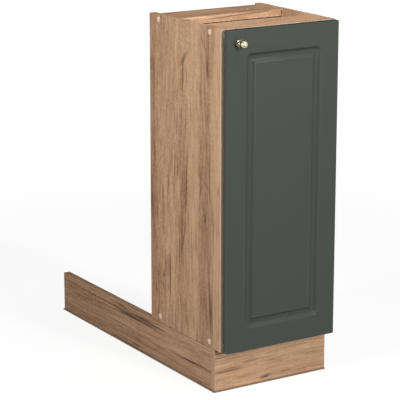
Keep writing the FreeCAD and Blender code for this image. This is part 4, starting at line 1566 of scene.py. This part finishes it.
class CABINET_OT_plinth_fittings(bpy.types.Operator):
    """Round the edges of the plinth clips and the corner bracket"""

    bl_idname = "cabinet.plinth_fittings"
    bl_label = "Plinth fittings"

    def execute(self, context):
        sizes = context.scene.cabinet_sizes
        for place in ("front_left", "front_right", "side_front", "side_rear"):
            node = "plinth_clip_" + place
            piece = eased_node(node, "clip_" + place, sizes.moulding_ease)
            finish(piece, [node], "carcass", finishes["plastic"])
        piece = eased_node("plinth_bracket", "corner_bracket", sizes.pressing_ease)
        finish(piece, ["plinth_bracket"], "carcass", finishes["steel"])
        return {"FINISHED"}


class CABINET_OT_small_turnings(bpy.types.Operator):
    """Turn the shelf pins, the dowels and the soft dots on the door"""

    bl_idname = "cabinet.small_turnings"
    bl_label = "Pins, dowels and bumpers"

    pin_rings = ((1.9, 0), (2.5, 0.6), (2.5, 7.6), (2.2, 7.9), (2.2, 8.5), (2.5, 8.8), (2.5, 16.4), (1.9, 17))
    dowel_rings = ((3.3, 0), (4.0, 0.9), (4.0, 33.1), (3.3, 34))
    bumper_rings = (
        (3.9, 0), (4.0, 0.3), (4.0, 1.5), (3.8, 2.2), (3.2, 2.75), (2.2, 3.1), (0.9, 3.2), (0.2, 3.2),
    )
    # Node, piece, body, slot, finish, axis and rings
    kinds = (
        ("shelf_pins", "pins_under_shelf", "carcass", "steel", "steel", RIGHT, pin_rings),
        ("dowels", "joint_dowels", "carcass", "dowel_wood", "dowel", RIGHT, dowel_rings),
        ("door_bumpers", "soft_dots", "door", "bumper_rubber", "bumper", BACK, bumper_rings),
    )

    def execute(self, context):
        corners = context.scene.cabinet_sizes.turning_corners
        for node, name, body, slot, finish_name, axis, rings in self.kinds:
            starts = []
            for low, high in solids(node):
                starts.append((low + high) / 2 - axis * (high - low).dot(axis) / 2)
            first = turned("turning", starts[0], axis, rings, corners)
            pieces = [first] + [copy_moved(first, "turning", start - starts[0]) for start in starts[1:]]
            finish(join(name, pieces), [node], body, finishes[finish_name])
        return {"FINISHED"}


class CABINET_OT_stage(bpy.types.Operator):
    """Set the floor, the soft lights and the camera"""

    bl_idname = "cabinet.stage"
    bl_label = "Stage"

    # Name, place, aim, width and height, and the setting that holds its power
    lights = (
        ("Front light", (0.62, -4.15, 1.8), (0, -0.36, 0.85), (0.45, 2.3), "front_power"),
        ("Side light", (-3.05, -0.9, 1.5), (-0.15, -0.2, 0.8), (0.35, 1.0), "side_power"),
        ("Top light", (0.3, -1.2, 2.5), (0, -0.25, 0.8), (1.0, 0.6), "top_power"),
    )
    light_spread = math.radians(70)
    camera_place = (-2031, -3171, 1410)
    sensor_width = 36
    floor_size = 60
    floor_grain = (3, 3, 3)
    floor_mottle = 0.98
    floor_roughness = 0.9
    lift_near = 0.7
    lift_far = 3.0

    def execute(self, context):
        stage = context.scene.cabinet_stage
        self.lay_floor(stage)
        self.light_sky(context.scene, stage)
        for name, place, aim, size, power in self.lights:
            self.hang_light(name, place, aim, size, getattr(stage, power))
        self.set_camera(context.scene, stage)
        context.scene.view_settings.view_transform = "Standard"
        return {"FINISHED"}

    def seen_by_eye(self, tree):
        """1 for rays that come straight from the camera, by gloss or through glass, and otherwise 0."""
        seen = place_node(tree, "ShaderNodeLightPath").outputs
        open_to_eye = maths(tree, "MAXIMUM", seen["Is Camera Ray"], seen["Is Glossy Ray"])
        return maths(tree, "MAXIMUM", open_to_eye, seen["Is Transmission Ray"])

    def lay_floor(self, stage):
        """Wide pale floor whose shadows are lifted for the camera."""
        start_piece()
        bpy.ops.mesh.primitive_plane_add(size=self.floor_size, location=(0, 0, 0))
        floor = settle("floor")
        material, tree, surface = new_material("Floor")
        place = object_place(tree)
        mottle = noise(tree, place, self.floor_grain)
        deep = [channel * self.floor_mottle for channel in stage.floor]
        paint = blend(tree, mottle, opaque(stage.floor), opaque(deep))
        tree.links.new(paint, surface.inputs["Base Color"])
        surface.inputs["Roughness"].default_value = self.floor_roughness
        surface.inputs["Specular IOR Level"].default_value = 0.0
        surface.inputs["Emission Color"].default_value = WHITE
        away = place_node(tree, "ShaderNodeVectorMath", {0: place}, operation="LENGTH").outputs["Value"]
        lift = ramp(tree, away, self.lift_near, self.lift_far, stage.floor_lift, 1.0)
        glow = maths(tree, "MULTIPLY", self.seen_by_eye(tree), lift)
        tree.links.new(glow, surface.inputs["Emission Strength"])
        floor.data.materials.append(material)

    def light_sky(self, scene, stage):
        """Even light from all round, seen as white."""
        world = bpy.data.worlds.new("Studio")
        scene.world = world
        world.use_nodes = True
        tree = world.node_tree
        tree.nodes.clear()
        level = maths(tree, "MULTIPLY_ADD", self.seen_by_eye(tree), 1 - stage.sky, stage.sky)
        sky = place_node(tree, "ShaderNodeBackground", {"Color": WHITE, "Strength": level})
        out = tree.nodes.new("ShaderNodeOutputWorld")
        tree.links.new(sky.outputs[0], out.inputs["Surface"])

    def hang_light(self, name, place, aim, size, power):
        """Soft light with a given width and height that looks at a point."""
        start_piece()
        turn = (Vector(aim) - Vector(place)).to_track_quat("-Z", "Y").to_euler()
        bpy.ops.object.light_add(type="AREA", location=place, rotation=turn)
        lamp = bpy.context.active_object
        lamp.name = name
        lamp.data.shape = "RECTANGLE"
        lamp.data.size, lamp.data.size_y = size
        lamp.data.spread = self.light_spread
        lamp.data.energy = power

    def set_camera(self, scene, stage):
        """Camera at the photograph's angle."""
        start_piece()
        turn = Euler((QUARTER - stage.pitch, 0, -stage.heading))
        bpy.ops.object.camera_add(location=spot(*self.camera_place), rotation=turn)
        camera = bpy.context.active_object
        camera.data.lens = stage.lens
        camera.data.sensor_width = self.sensor_width
        camera.data.dof.use_dof = False
        scene.camera = camera


class CABINET_PT_pieces(bpy.types.Panel):
    """Sidebar list of the cabinet's sizes, colours and pieces"""

    bl_idname = "CABINET_PT_pieces"
    bl_label = "Kitchen base cabinet"
    bl_space_type = "VIEW_3D"
    bl_region_type = "UI"
    bl_category = "Cabinet"

    def draw(self, context):
        scene = context.scene
        for settings in (scene.cabinet_sizes, scene.cabinet_colours, scene.cabinet_stage):
            column = self.layout.column(align=True)
            for key in settings.__annotations__:
                column.prop(settings, key)
        column = self.layout.column(align=True)
        for operator in piece_operators:
            column.operator(operator.bl_idname)


piece_operators = (
    CABINET_OT_finishes, CABINET_OT_side_boards, CABINET_OT_level_boards, CABINET_OT_edge_bands,
    CABINET_OT_door, CABINET_OT_knob, CABINET_OT_caps, CABINET_OT_plinth, CABINET_OT_back_board,
    CABINET_OT_legs, CABINET_OT_screws, CABINET_OT_hinges, CABINET_OT_plinth_fittings,
    CABINET_OT_small_turnings, CABINET_OT_stage,
)
property_groups = (CabinetSizes, CabinetColours, CabinetStage)


def register():
    """Registers the classes and hangs the settings on the scene."""
    for made in property_groups + piece_operators + (CABINET_PT_pieces,):
        bpy.utils.register_class(made)
    bpy.types.Scene.cabinet_sizes = PointerProperty(type=CabinetSizes)
    bpy.types.Scene.cabinet_colours = PointerProperty(type=CabinetColours)
    bpy.types.Scene.cabinet_stage = PointerProperty(type=CabinetStage)


def unregister():
    """Takes the settings and the classes away."""
    del bpy.types.Scene.cabinet_stage
    del bpy.types.Scene.cabinet_colours
    del bpy.types.Scene.cabinet_sizes
    for made in reversed(property_groups + piece_operators + (CABINET_PT_pieces,)):
        bpy.utils.unregister_class(made)


def main():
    """Builds every piece in order."""
    register()
    for operator in piece_operators:
        section, action = operator.bl_idname.split(".")
        getattr(getattr(bpy.ops, section), action)()


if __name__ == "__main__":
    main()
